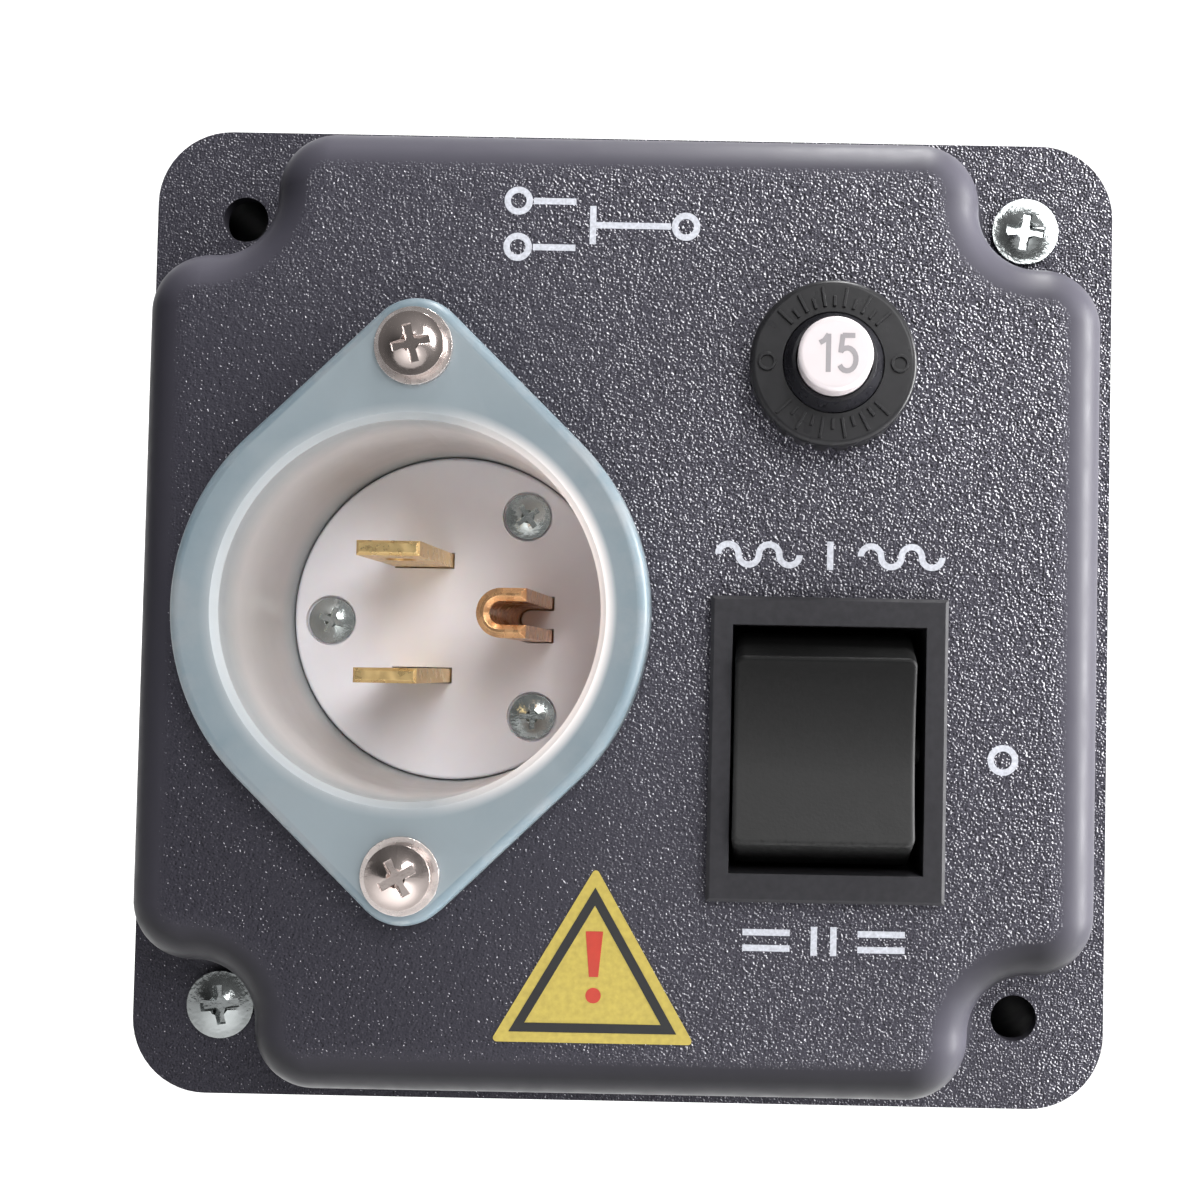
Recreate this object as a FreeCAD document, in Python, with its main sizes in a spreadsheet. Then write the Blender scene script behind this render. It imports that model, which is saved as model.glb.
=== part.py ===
import FreeCAD, Part
import math
import os

import Sketcher

# Manual transfer switch: a square steel outlet box, its raised cover, a flanged power
# inlet, a three position rocker switch, a push-to-reset breaker and the wiring behind.
# Frame: X right, Z up, the face looks along -Y, origin in the middle of the box's back.
# "out" below is the distance from the wall, so y = -out.  All sizes are millimetres.

os.makedirs("parts", exist_ok=True)
doc = FreeCAD.newDocument("manual_transfer_switch")
Vector = FreeCAD.Vector

DIMENSIONS = {
    # box, ears and cover
    "box_half": 50.0, "box_corner": 7.0, "box_depth": 54.0, "sheet": 1.6, "raise_height": 12.5,
    "knockout_radius": 11.1, "knockout_groove": 0.5, "knockout_offset": 22.0, "knockout_out": 27.0,
    "back_hole_offset": 38.0, "back_hole_radius": 2.4, "boss_radius": 5.5, "boss_height": 2.5,
    "flange_half": 51.0, "flange_corner": 7.8, "raise_half": 48.2, "corner_hole_offset": 41.57,
    "corner_hole_radius": 2.4, "notch_radius": 5.9, "shoulder_radius": 6.2, "face_round": 5.5,
    "face_round_inner": 3.9, "foot_round": 2.0, "ear_half": 6.2, "ear_thick": 2.4, "ear_leg": 14.0,
    "ear_tap_radius": 2.05,
    # fasteners
    "cover_screw_radius": 2.0, "cover_head_radius": 3.5, "cover_head_height": 2.1,
    "cover_screw_length": 11.0, "ground_shank_radius": 2.35, "ground_head_radius": 4.6,
    "ground_head_height": 3.0, "ground_x": -30.0, "ground_z": -30.0,
    # inlet
    "inlet_x": -19.5, "inlet_z": -0.42, "inlet_front": 4.3, "rim_radius": 23.0,
    "mouth_radius": 18.35, "floor_radius": 17.95, "cup_radius": 19.6, "disc_radius": 17.82,
    "disc_out": 48.25, "seat_out": 45.2, "rear_out": 30.0, "rear_radius": 19.5,
    "ear_offset": 25.25, "ear_tip_radius": 4.9, "ear_hole_radius": 2.1,
    "blade_x": -23.06, "blade_pitch": 6.35, "blade_half_width": 3.175, "blade_half_thick": 0.75,
    "blade_length": 17.8, "blade_chamfer": 0.3, "blade_hole_radius": 1.6, "blade_hole_out": 60.1,
    "slot_gap": 0.12, "tab_thick": 1.2, "tab_half_width": 4.0, "tab_reach": 15.8,
    "terminal_offset": 12.5, "pin_x": -11.17, "pin_radius": 2.45, "pin_wall": 1.3,
    "pin_mouth": 2.45, "pin_length": 21.0, "ground_tab_x": -5.5, "ground_tab_end": -2.2,
    "face_screw_circle": 13.8, "face_screw_head": 2.5, "face_screw_shank": 1.2,
    "face_screw_recess": 0.8, "face_screw_angle_a": 182.0, "face_screw_angle_b": 56.0,
    "face_screw_angle_c": -51.0, "terminal_head_radius": 3.5, "terminal_head_height": 2.4,
    "terminal_shank_radius": 1.75, "ring_thick": 0.8, "ring_radius": 3.2,
    "barrel_half": 1.8, "barrel_start": 2.6, "barrel_end": 9.0,
    "washer_radius": 3.75, "washer_thick": 0.6, "mount_head_radius": 3.1,
    "mount_head_height": 2.3, "mount_shank_radius": 1.9, "mount_nut_radius": 4.0,
    "mount_nut_height": 3.4, "mount_screw_end": 60.0,
    # rocker switch
    "switch_x": 20.9, "switch_z": -13.15, "bezel_half_x": 11.55, "bezel_half_z": 14.8,
    "bezel_height": 1.7, "opening_half_x": 9.4, "opening_half_z": 12.0, "housing_half_x": 10.5,
    "housing_half_z": 13.7, "housing_out": 44.0, "cavity_out": 49.0, "snap_depth": 0.9,
    "rocker_half_x": 8.75, "rocker_shift": 0.35, "pivot_out": 63.5, "trunnion_radius": 1.5, "trunnion_reach": 10.3,
    "ridge_z": 8.9, "ridge_out": 72.1, "saddle_radius": 27.15, "skirt_z": 11.3,
    "skirt_out": 66.4, "hip_z": 10.5, "hip_out": 62.0, "keel_z": 6.5, "keel_out": 59.3,
    "ridge_round": 0.45, "pole_offset": 4.7, "throw_offset": 9.0, "plunger_bore": 1.9,
    "bore_top": 68.0, "plunger_radius": 1.7, "plunger_tip": 53.55, "plunger_top": 60.5,
    "arm_half_width": 2.5, "arm_half_length": 10.0, "arm_out": 52.4, "arm_thick": 0.8,
    "arm_button": 1.0, "contact_radius": 1.5, "contact_top": 50.1, "saddle_top": 52.1,
    "tab_half": 3.15, "tab_half_thick": 0.4, "switch_tab_out": 35.0,
    # push-to-reset breaker
    "breaker_x": 20.75, "breaker_z": 24.2, "breaker_half_x": 7.5, "breaker_half_z": 16.0,
    "breaker_out": 38.0, "breaker_wall": 1.5, "neck_radius": 4.85, "neck_top": 73.3,
    "neck_tip_radius": 4.05, "neck_bore": 3.7, "ring_nut_radius": 8.1, "ring_nut_height": 3.5,
    "ring_nut_bore": 4.92, "ring_nut_notch": 0.35, "button_radius": 3.55, "button_top": 76.1,
    "button_foot": 62.0, "collar_radius": 4.4, "collar_out": 60.0, "shank_radius": 2.0,
    "shank_out": 46.6, "guide_out": 55.0, "guide_thick": 1.0, "guide_bore": 2.35,
    "bridge_out": 47.0, "bridge_thick": 0.8, "bridge_half": 8.0, "bridge_half_x": 2.5,
    "bridge_offset": 6.5, "breaker_contact_top": 45.6, "breaker_tab_out": 29.0,
    "bimetal_out": 51.5, "bimetal_thick": 0.8, "bimetal_end": 2.5,
    # springs
    "plunger_spring_radius": 1.35, "plunger_spring_wire": 0.22, "plunger_spring_pitch": 1.3,
    "reset_spring_radius": 3.1, "reset_spring_wire": 0.3, "reset_spring_pitch": 1.12,
    # wiring
    "wire_radius": 1.5, "wire_bend": 4.0, "sleeve_half_x": 4.3, "sleeve_half_z": 2.2,
    "sleeve_length": 17.5, "sleeve_gap": 0.5, "nut_mouth_radius": 5.0, "nut_tip_radius": 2.6,
    "nut_length": 16.0, "nut_bore_depth": 8.0,
    # sticker and printing
    "sticker_x": -1.4, "sticker_base": -42.05, "sticker_top": -25.0, "sticker_half": 9.9,
    "sticker_thick": 0.12, "border_inset": 1.0, "border_width": 0.88, "print_thick": 0.05,
    "print_line": 0.62,
}

sheet = doc.addObject("Spreadsheet::Sheet", "sizes")
for row, (alias, number) in enumerate(DIMENSIONS.items(), 1):
    sheet.set(f"A{row}", alias)
    sheet.set(f"B{row}", str(number))
    sheet.setAlias(f"B{row}", alias)
doc.recompute()


class Size:
    """A number together with the sheet formula that gives it."""

    def __init__(self, number, formula):
        self.number = float(number)
        self.formula = formula

    def __add__(self, other):
        other = size(other)
        return Size(self.number + other.number, f"({self.formula} + {other.formula})")

    def __sub__(self, other):
        other = size(other)
        return Size(self.number - other.number, f"({self.formula} - {other.formula})")

    def __mul__(self, other):
        other = size(other)
        return Size(self.number * other.number, f"({self.formula} * {other.formula})")

    def __truediv__(self, other):
        other = size(other)
        return Size(self.number / other.number, f"({self.formula} / {other.formula})")

    def __radd__(self, other):
        return size(other) + self

    def __rsub__(self, other):
        return size(other) - self

    def __rmul__(self, other):
        return size(other) * self

    def __neg__(self):
        return size(0) - self


def size(value):
    return value if isinstance(value, Size) else Size(value, f"({float(value)!r})")


def root(value):
    return Size(math.sqrt(value.number), f"sqrt({value.formula})")


class Sizes:
    def __getattr__(self, alias):
        return Size(sheet.get(alias), f"sizes.{alias}")


s = Sizes()


def bind(item, prop, value):
    item.setExpression(prop, size(value).formula)


def place(item, x, out, z, rotation=None):
    """Put an item's origin at x, out, z."""
    x, out, z = size(x), size(out), size(z)
    turn = rotation or FreeCAD.Rotation()
    item.Placement = FreeCAD.Placement(Vector(x.number, -out.number, z.number), turn)
    bind(item, "Placement.Base.x", x)
    bind(item, "Placement.Base.y", -out)
    bind(item, "Placement.Base.z", z)
    return item


OUTWARD = FreeCAD.Rotation(Vector(1, 0, 0), 90)
RIGHTWARD = FreeCAD.Rotation(Vector(0, 1, 0), 90)
UPWARD = FreeCAD.Rotation()
HEADINGS = {"out": OUTWARD, "x": RIGHTWARD, "z": UPWARD}


def rod(name, radius, start, stop, across, heading="out"):
    """Cylinder from start to stop along a heading; across holds the two other coordinates."""
    item = doc.addObject("Part::Cylinder", name)
    bind(item, "Radius", radius)
    bind(item, "Height", size(stop) - start)
    return put_along(item, start, across, heading)


def taper(name, radius, end_radius, start, stop, across, heading="out"):
    item = doc.addObject("Part::Cone", name)
    bind(item, "Radius1", radius)
    bind(item, "Radius2", end_radius)
    bind(item, "Height", size(stop) - start)
    return put_along(item, start, across, heading)


def hexagon(name, radius, start, stop, across):
    item = doc.addObject("Part::Prism", name)
    item.Polygon = 6
    bind(item, "Circumradius", radius)
    bind(item, "Height", size(stop) - start)
    return put_along(item, start, across, "out")


def put_along(item, start, across, heading):
    if heading == "out":
        return place(item, across[0], start, across[1], HEADINGS[heading])
    if heading == "x":
        return place(item, start, across[0], across[1], HEADINGS[heading])
    return place(item, across[0], across[1], start, HEADINGS[heading])


def block(name, x, out, z):
    """Box between the pairs x, out and z."""
    item = doc.addObject("Part::Box", name)
    bind(item, "Length", size(x[1]) - x[0])
    bind(item, "Width", size(out[1]) - out[0])
    bind(item, "Height", size(z[1]) - z[0])
    return place(item, x[0], out[1], z[0])


def around(middle, half):
    return (size(middle) - half, size(middle) + half)


def fused(label, parts):
    item = doc.addObject("Part::MultiFuse", label)
    item.Shapes = parts
    item.Refine = True
    return item


def cut(label, base, tools):
    item = doc.addObject("Part::Cut", label)
    item.Base = base
    item.Tool = tools[0] if len(tools) == 1 else fused(label + "_tools", tools)
    item.Refine = True
    return item


def group(label, parts):
    item = doc.addObject("Part::Compound", label)
    item.Links = parts
    return item


# Sketch based features ---------------------------------------------------------------

def new_body(label):
    return doc.addObject("PartDesign::Body", label)


def new_sketch(body, name, plane, shift, lift=None):
    item = body.newObject("Sketcher::SketchObject", name)
    origin = next(part for part in body.Origin.OriginFeatures if part.Role == plane)
    item.AttachmentSupport = [(origin, "")]
    item.MapMode = "FlatFace"
    bind(item, "AttachmentOffset.Base.z", shift)
    if lift is not None:
        bind(item, "AttachmentOffset.Base.y", lift)
    return item


def draw_circle(sketch, x, z, radius):
    x, z, radius = size(x), size(z), size(radius)
    ring = sketch.addGeometry(
        Part.Circle(Vector(x.number, z.number, 0), Vector(0, 0, 1), radius.number))
    for kind, value in (("DistanceX", x), ("DistanceY", z)):
        index = sketch.addConstraint(
            Sketcher.Constraint(kind, -1, 1, ring, 3, value.number))
        bind(sketch, f"Constraints[{index}]", value)
    index = sketch.addConstraint(Sketcher.Constraint("Radius", ring, radius.number))
    bind(sketch, f"Constraints[{index}]", radius)


def draw_loop(sketch, points, arcs=None):
    """Closed loop of lines; arcs gives {side: (radius, turn)} with turn 1 left or -1 right."""
    arcs = arcs or {}
    points = [(size(x), size(z)) for x, z in points]
    spots = [Vector(x.number, z.number, 0) for x, z in points]
    first = sketch.GeometryCount
    count = len(points)
    for side in range(count):
        here = spots[side]
        there = spots[(side + 1) % count]
        if side not in arcs:
            sketch.addGeometry(Part.LineSegment(here, there))
            continue
        radius = size(arcs[side][0]).number
        turn = arcs[side][1]
        chord = there - here
        normal = Vector(-chord.y, chord.x, 0).normalize()
        rise = math.sqrt(max(radius ** 2 - chord.Length ** 2 / 4, 0))
        centre = (here + there) * 0.5 + normal * (rise * turn)
        angles = [math.atan2(spot.y - centre.y, spot.x - centre.x) for spot in (here, there)]
        if turn < 0:
            angles.reverse()
        circle = Part.Circle(centre, Vector(0, 0, 1), radius)
        sketch.addGeometry(Part.ArcOfCircle(circle, *angles))
    starts = [2 if side in arcs and arcs[side][1] < 0 else 1 for side in range(count)]
    for side in range(count):
        after = (side + 1) % count
        sketch.addConstraint(Sketcher.Constraint(
            "Coincident", first + side, 3 - starts[side], first + after, starts[after]))
    for side, point in enumerate(points):
        for kind, value in zip(("DistanceX", "DistanceY"), point):
            index = sketch.addConstraint(Sketcher.Constraint(
                kind, -1, 1, first + side, starts[side], value.number))
            bind(sketch, f"Constraints[{index}]", value)
    for side, (radius, _) in arcs.items():
        index = sketch.addConstraint(
            Sketcher.Constraint("Radius", first + side, size(radius).number))
        bind(sketch, f"Constraints[{index}]", radius)


def draw(sketch, shapes):
    for kind, *values in shapes:
        if kind == "circle":
            draw_circle(sketch, *values)
        else:
            draw_loop(sketch, *values)


def rectangle(x, z):
    return ("loop", [(x[0], z[0]), (x[1], z[0]), (x[1], z[1]), (x[0], z[1])])


def rounded_rectangle(x, z, corner):
    points = [(x[0] + corner, z[0]), (x[1] - corner, z[0]), (x[1], z[0] + corner),
              (x[1], z[1] - corner), (x[1] - corner, z[1]), (x[0] + corner, z[1]),
              (x[0], z[1] - corner), (x[0], z[0] + corner)]
    return ("loop", points, {side: (corner, 1) for side in (1, 3, 5, 7)})


def pad(body, name, out, shapes):
    """Raise shapes from out[0] to out[1]."""
    sketch = new_sketch(body, name + "_sketch", "XZ_Plane", out[0])
    draw(sketch, shapes)
    item = body.newObject("PartDesign::Pad", name)
    item.Profile = sketch
    bind(item, "Length", size(out[1]) - out[0])
    doc.recompute()
    return item


def pocket(body, name, out, shapes, from_back=False):
    """Sink shapes between out[0] and out[1]; the sketch lies on the open side."""
    before = body.Shape.Volume
    sketch = new_sketch(body, name + "_sketch", "XZ_Plane", out[0] if from_back else out[1])
    draw(sketch, shapes)
    item = body.newObject("PartDesign::Pocket", name)
    item.Profile = sketch
    item.Reversed = from_back
    bind(item, "Length", size(out[1]) - out[0])
    doc.recompute()
    if body.Shape.Volume > before - 1e-4:
        raise RuntimeError(f"pocket {name} removed nothing")
    return item


def turned(body, name, profile, x, z, arcs=None, remove=False):
    """Turn an (out, radius) profile about an axis pointing outward through x, z."""
    before = 0 if not remove else body.Shape.Volume
    sketch = new_sketch(body, name + "_sketch", "YZ_Plane", x, z)
    draw_loop(sketch, [(-size(out), radius) for out, radius in profile], arcs)
    kind = "PartDesign::Groove" if remove else "PartDesign::Revolution"
    item = body.newObject(kind, name)
    item.Profile = sketch
    item.ReferenceAxis = (sketch, ["H_Axis"])
    item.Angle = 360
    doc.recompute()
    if remove and body.Shape.Volume > before - 1e-4:
        raise RuntimeError(f"groove {name} removed nothing")
    return item


def soften(body, name, radius, wanted, kind="PartDesign::Fillet"):
    """Fillet or chamfer every edge of the body for which wanted(edge) holds."""
    base = body.Tip
    edges = [f"Edge{index}" for index, edge in enumerate(base.Shape.Edges, 1) if wanted(edge)]
    if not edges:
        raise RuntimeError(f"{name} found no edge")
    item = body.newObject(kind, name)
    item.Base = (base, edges)
    bind(item, "Size" if kind.endswith("Chamfer") else "Radius", radius)
    doc.recompute()
    return item


def flat_at(edge, out, reach=1e9, least=0.0):
    """True for an edge lying wholly at a distance out from the wall."""
    box = edge.BoundBox
    level = abs(box.YMin + out.number) < 1e-4 and abs(box.YMax + out.number) < 1e-4
    far = max(abs(value) for value in (box.XMin, box.XMax, box.ZMin, box.ZMax))
    return level and least <= far <= reach


# Box --------------------------------------------------------------------------------

flange_out = s.box_depth + s.sheet
face_out = s.box_depth + s.raise_height + s.sheet
under_face = face_out - s.sheet

box = new_body("box_blank")
square = around(0, s.box_half)
inside = around(0, s.box_half - s.sheet)
pad(box, "box_block", (size(0), s.box_depth), [rounded_rectangle(square, square, s.box_corner)])
pocket(box, "box_hollow", (s.sheet, s.box_depth),
       [rounded_rectangle(inside, inside, s.box_corner - s.sheet)])
soften(box, "box_back_round", s.sheet, lambda edge: flat_at(edge, size(0)))
pad(box, "ground_boss", (s.sheet, s.sheet + s.boss_height),
    [("circle", s.ground_x, s.ground_z, s.boss_radius)])
back_holes = [("circle", s.back_hole_offset * i, s.back_hole_offset * j, s.back_hole_radius)
              for i, j in ((1, 1), (-1, 1), (-1, -1), (1, -1))]
pocket(box, "back_holes", (size(0), s.sheet), back_holes)
pocket(box, "ground_tap", (size(0), s.sheet + s.boss_height),
       [("circle", s.ground_x, s.ground_z, s.ground_shank_radius + 0.05)])

groove_tools = []
for axis in ("x", "z"):
    for direction in (-1, 1):
        for offset in (-1, 1):
            wall = (s.box_half - s.knockout_groove) * direction
            skin = (s.box_half + 1) * direction
            start, stop = (skin, wall) if direction < 0 else (wall, skin)
            place_at = s.knockout_offset * offset
            across = (s.knockout_out, place_at) if axis == "x" else (place_at, s.knockout_out)
            tag = f"knockout_{axis}_{direction + 1}_{offset + 1}"
            outer = rod(tag + "_outer", s.knockout_radius, start, stop, across, axis)
            inner = rod(tag + "_inner", s.knockout_radius - 0.5, start - 1, stop + 1, across, axis)
            groove_tools.append(cut(tag, outer, [inner]))
outer = rod("knockout_back_outer", s.knockout_radius, -1, s.knockout_groove, (0, 0))
inner = rod("knockout_back_inner", s.knockout_radius - 0.5, -2, s.knockout_groove + 1, (0, 0))
groove_tools.append(cut("knockout_back", outer, [inner]))
cut("box_body", box, groove_tools)

ears = []
for sign in (-1, 1):
    middle = s.corner_hole_offset * sign
    far = inside[1] if sign > 0 else inside[0]
    near = middle - s.ear_half * sign
    span = (near, far) if sign > 0 else (far, near)
    body = new_body(f"ear_{sign + 1}")
    corner = s.box_corner - s.sheet
    pad(body, f"ear_tab_{sign + 1}", (s.box_depth - s.ear_thick, s.box_depth),
        [rounded_rectangle(span, span, corner)])
    leg = (far - s.ear_thick * sign, far)
    leg = leg if sign > 0 else (leg[1], leg[0])
    side = (near + 1.0 * sign, far - corner * sign)
    side = side if sign > 0 else (side[1], side[0])
    pad(body, f"ear_leg_{sign + 1}", (s.box_depth - s.ear_leg, s.box_depth - s.ear_thick),
        [rectangle(leg, side)])
    pocket(body, f"ear_tap_{sign + 1}", (s.box_depth - s.ear_thick, s.box_depth),
           [("circle", middle, middle, s.ear_tap_radius)])
    ears.append(body)
group("box_ears", ears)

# Cover ------------------------------------------------------------------------------

def raised_outline(half, notch, shoulder, offset):
    """Square with a round notch at every corner, blended to the sides by shoulders."""
    across = half - shoulder - offset
    along = root((shoulder + notch) * (shoulder + notch) - across * across)
    share = notch / (shoulder + notch)
    corner = [(half, offset - along), (offset + across * share, offset - along * share),
              (offset - along * share, offset + across * share), (offset - along, half)]
    points = []
    arcs = {}
    for quarter in range(4):
        for step, radius, turn in ((0, shoulder, 1), (1, notch, -1), (2, shoulder, 1)):
            arcs[len(points) + step] = (radius, turn)
        points += corner
        corner = [(-z, x) for x, z in corner]
    return ("loop", points, arcs)


cover = new_body("cover_shell")
square = around(0, s.flange_half)
pad(cover, "cover_flange", (s.box_depth, flange_out),
    [rounded_rectangle(square, square, s.flange_corner)])
pad(cover, "cover_raise", (s.box_depth, face_out),
    [raised_outline(s.raise_half, s.notch_radius, s.shoulder_radius, s.corner_hole_offset)])
soften(cover, "face_round", s.face_round, lambda edge: flat_at(edge, face_out))
soften(cover, "foot_round", s.foot_round,
       lambda edge: flat_at(edge, flange_out, reach=s.raise_half.number + 0.1))
inlet_ears = [(s.inlet_x, s.inlet_z + s.ear_offset), (s.inlet_x, s.inlet_z - s.ear_offset)]
switch_cut = (around(s.switch_x, s.housing_half_x + 0.1), around(s.switch_z, s.housing_half_z + 0.1))
openings = [("circle", s.inlet_x, s.inlet_z, s.cup_radius + 0.3), rectangle(*switch_cut),
            ("circle", s.breaker_x, s.breaker_z, s.neck_radius + 0.4)]
openings += [("circle", x, z, s.ear_hole_radius) for x, z in inlet_ears]
pocket(cover, "face_openings", (under_face - 1, face_out), openings)
corners = [(s.corner_hole_offset * i, s.corner_hole_offset * j)
           for i, j in ((1, 1), (-1, 1), (-1, -1), (1, -1))]
pocket(cover, "corner_holes", (s.box_depth, flange_out),
       [("circle", x, z, s.corner_hole_radius) for x, z in corners])
core = new_body("cover_core")
pad(core, "core_block", (s.box_depth - 1, under_face),
    [raised_outline(s.raise_half - s.sheet, s.notch_radius + s.sheet,
                    s.shoulder_radius - s.sheet, s.corner_hole_offset)])
soften(core, "core_round", s.face_round_inner, lambda edge: flat_at(edge, under_face))
cut("cover_plate", cover, [core])


def cross_recess(name, x, z, top, reach, depth, half=0.42, turn=0):
    """Tools for a cross recess: two crossed bars and a tapered middle under a head's top."""
    heading = FreeCAD.Rotation(Vector(0, 1, 0), turn)
    start = size(top) - depth
    bars = []
    for tag, half_x, half_z in (("_bar_a", reach, half), ("_bar_b", half, reach)):
        bar = doc.addObject("Part::Box", name + tag)
        bind(bar, "Length", size(half_x) * 2)
        bind(bar, "Width", size(depth) + 2)
        bind(bar, "Height", size(half_z) * 2)
        corner = heading.multVec(Vector(-size(half_x).number, 0, -size(half_z).number))
        bars.append(place(bar, size(x) + corner.x, size(top) + 2, size(z) + corner.z, heading))
    middle = taper(name + "_middle", reach * 0.28, reach * 0.72, start, size(top) + 0.05, (x, z))
    return bars + [middle]


def screw(name, x, z, seat, head_radius, head_height, shank_radius, shank_end, recess):
    """Pan head screw looking outward, its head resting on seat."""
    body = new_body(name + "_blank")
    top = seat + head_height
    shoulder = seat + head_height * 0.42
    dome = head_height - head_height * 0.42
    profile = [(shank_end, size(0)), (top, size(0)), (shoulder, head_radius), (seat, head_radius),
               (seat, shank_radius), (shank_end, shank_radius)]
    bulge = (head_radius * head_radius + dome * dome) / (dome * 2)
    turned(body, name + "_turned", profile, x, z, arcs={1: (bulge, 1)})
    return cut(name, body, recess)


cover_screws = []
for sign, slot_turn in ((-1, 0), (1, 1)):
    middle = s.corner_hole_offset * sign
    top = flange_out + s.cover_head_height
    tag = f"cover_screw_{sign + 1}"
    tools = cross_recess(tag, middle, middle, top, 2.0, 1.5, 0.45, 8 * sign)
    tools.append(block(tag + "_slot", around(middle, 3.8), (top - 1.0, top + 2),
                       around(middle, 0.45)))
    cover_screws.append(screw(tag, middle, middle, flange_out, s.cover_head_radius,
                              s.cover_head_height, s.cover_screw_radius,
                              flange_out - s.cover_screw_length, tools))
group("cover_screws", cover_screws)

boss_top = s.sheet + s.boss_height
ring_top = boss_top + s.ring_thick
ground_spot = (s.ground_x, s.ground_z)
ground_top = ring_top + s.ground_head_height
head = hexagon("ground_head", s.ground_head_radius, ring_top, ground_top, ground_spot)
shank = rod("ground_shank", s.ground_shank_radius, 0.3, ring_top, ground_spot)
slot = block("ground_slot", around(s.ground_x, 5.0), (ground_top - 1.1, ground_top + 1),
             around(s.ground_z, 0.6))
cut("ground_screw", fused("ground_screw_blank", [head, shank]), [slot])

# Inlet ------------------------------------------------------------------------------

def eared_outline(x, z, rim, tip, offset):
    """Circle joined by tangent lines to a smaller circle above and one below."""
    share = (rim - tip) / offset
    side = root(1 - share * share)
    rim_x, rim_z = rim * side, rim * share
    tip_x, tip_z = tip * side, offset + tip * share
    points = [(x + rim_x, z - rim_z), (x + rim_x, z + rim_z), (x + tip_x, z + tip_z),
              (x - tip_x, z + tip_z), (x - rim_x, z + rim_z), (x - rim_x, z - rim_z),
              (x - tip_x, z - tip_z), (x + tip_x, z - tip_z)]
    return ("loop", points, {0: (rim, 1), 2: (tip, 1), 4: (rim, 1), 6: (tip, 1)})


inlet_front = face_out + s.inlet_front
flange = new_body("inlet_flange")
pad(flange, "flange_plate", (face_out, inlet_front),
    [eared_outline(s.inlet_x, s.inlet_z, s.rim_radius, s.ear_tip_radius, s.ear_offset)])
soften(flange, "flange_edge", 1.1, lambda edge: flat_at(edge, inlet_front))
pad(flange, "cup", (s.seat_out, face_out), [("circle", s.inlet_x, s.inlet_z, s.cup_radius)])
turned(flange, "cup_hollow",
       [(s.seat_out - 1, size(0)), (inlet_front + 1, size(0)), (inlet_front + 1, s.mouth_radius + 0.6),
        (inlet_front, s.mouth_radius + 0.6), (inlet_front - 0.8, s.mouth_radius),
        (s.disc_out, s.floor_radius), (s.seat_out - 1, s.floor_radius)],
       s.inlet_x, s.inlet_z, remove=True)
pocket(flange, "flange_ear_holes", (face_out, inlet_front),
       [("circle", x, z, s.ear_hole_radius) for x, z in inlet_ears])

neutral_z = s.inlet_z + s.blade_pitch
hot_z = s.inlet_z - s.blade_pitch
slot_x = around(s.blade_x, s.blade_half_width + s.slot_gap)
blade_slots = [rectangle(slot_x, around(z, s.blade_half_thick + s.slot_gap))
               for z in (neutral_z, hot_z)]


def pin_outline(gap):
    """U section of the ground pin, open to the right, grown by a gap."""
    outer = s.pin_radius + gap
    inner = s.pin_radius - s.pin_wall - gap
    mouth = s.pin_x + s.pin_mouth + gap
    left, inner_left = s.pin_x - outer, s.pin_x - inner
    points = [(mouth, s.inlet_z - outer), (mouth, s.inlet_z - inner),
              (s.pin_x, s.inlet_z - inner), (inner_left, s.inlet_z), (s.pin_x, s.inlet_z + inner),
              (mouth, s.inlet_z + inner), (mouth, s.inlet_z + outer),
              (s.pin_x, s.inlet_z + outer), (left, s.inlet_z), (s.pin_x, s.inlet_z - outer)]
    return ("loop", points, {2: (inner, -1), 3: (inner, -1), 7: (outer, 1), 8: (outer, 1)})


def face_screw_spots():
    spots = []
    for alias in ("face_screw_angle_a", "face_screw_angle_b", "face_screw_angle_c"):
        angle = math.radians(sheet.get(alias))
        dx = Size(math.cos(angle), f"cos(sizes.{alias} * 1deg)")
        dz = Size(math.sin(angle), f"sin(sizes.{alias} * 1deg)")
        spots.append((s.inlet_x + s.face_screw_circle * dx, s.inlet_z + s.face_screw_circle * dz))
    return spots


screw_spots = face_screw_spots()
disc = new_body("inlet_disc")
pad(disc, "disc_plate", (s.seat_out, s.disc_out), [("circle", s.inlet_x, s.inlet_z, s.disc_radius)])
soften(disc, "disc_edge", 0.4, lambda edge: flat_at(edge, s.disc_out))
pocket(disc, "disc_slots", (s.seat_out, s.disc_out),
       blade_slots + [pin_outline(s.slot_gap)]
       + [("circle", x, z, s.face_screw_shank + 0.1) for x, z in screw_spots])
pocket(disc, "disc_recesses", (s.disc_out - s.face_screw_recess, s.disc_out),
       [("circle", x, z, s.face_screw_head + 0.25) for x, z in screw_spots])

terminal_spots = {"neutral": (s.blade_x, s.inlet_z + s.terminal_offset),
                  "hot": (s.blade_x, s.inlet_z - s.terminal_offset),
                  "ground": (s.ground_tab_x, s.inlet_z)}
rear = new_body("inlet_rear_body")
pad(rear, "rear_block", (s.rear_out, s.seat_out), [("circle", s.inlet_x, s.inlet_z, s.rear_radius)])
soften(rear, "rear_edge", 1.0, lambda edge: flat_at(edge, s.rear_out))
pocket(rear, "rear_slots", (s.rear_out, s.seat_out),
       blade_slots + [pin_outline(s.slot_gap)]
       + [("circle", x, z, s.face_screw_shank + 0.05) for x, z in screw_spots])
pocket(rear, "rear_terminal_wells", (s.rear_out, s.rear_out + 5.5),
       [("circle", x, z, s.terminal_shank_radius + 0.1) for x, z in terminal_spots.values()],
       from_back=True)

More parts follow.
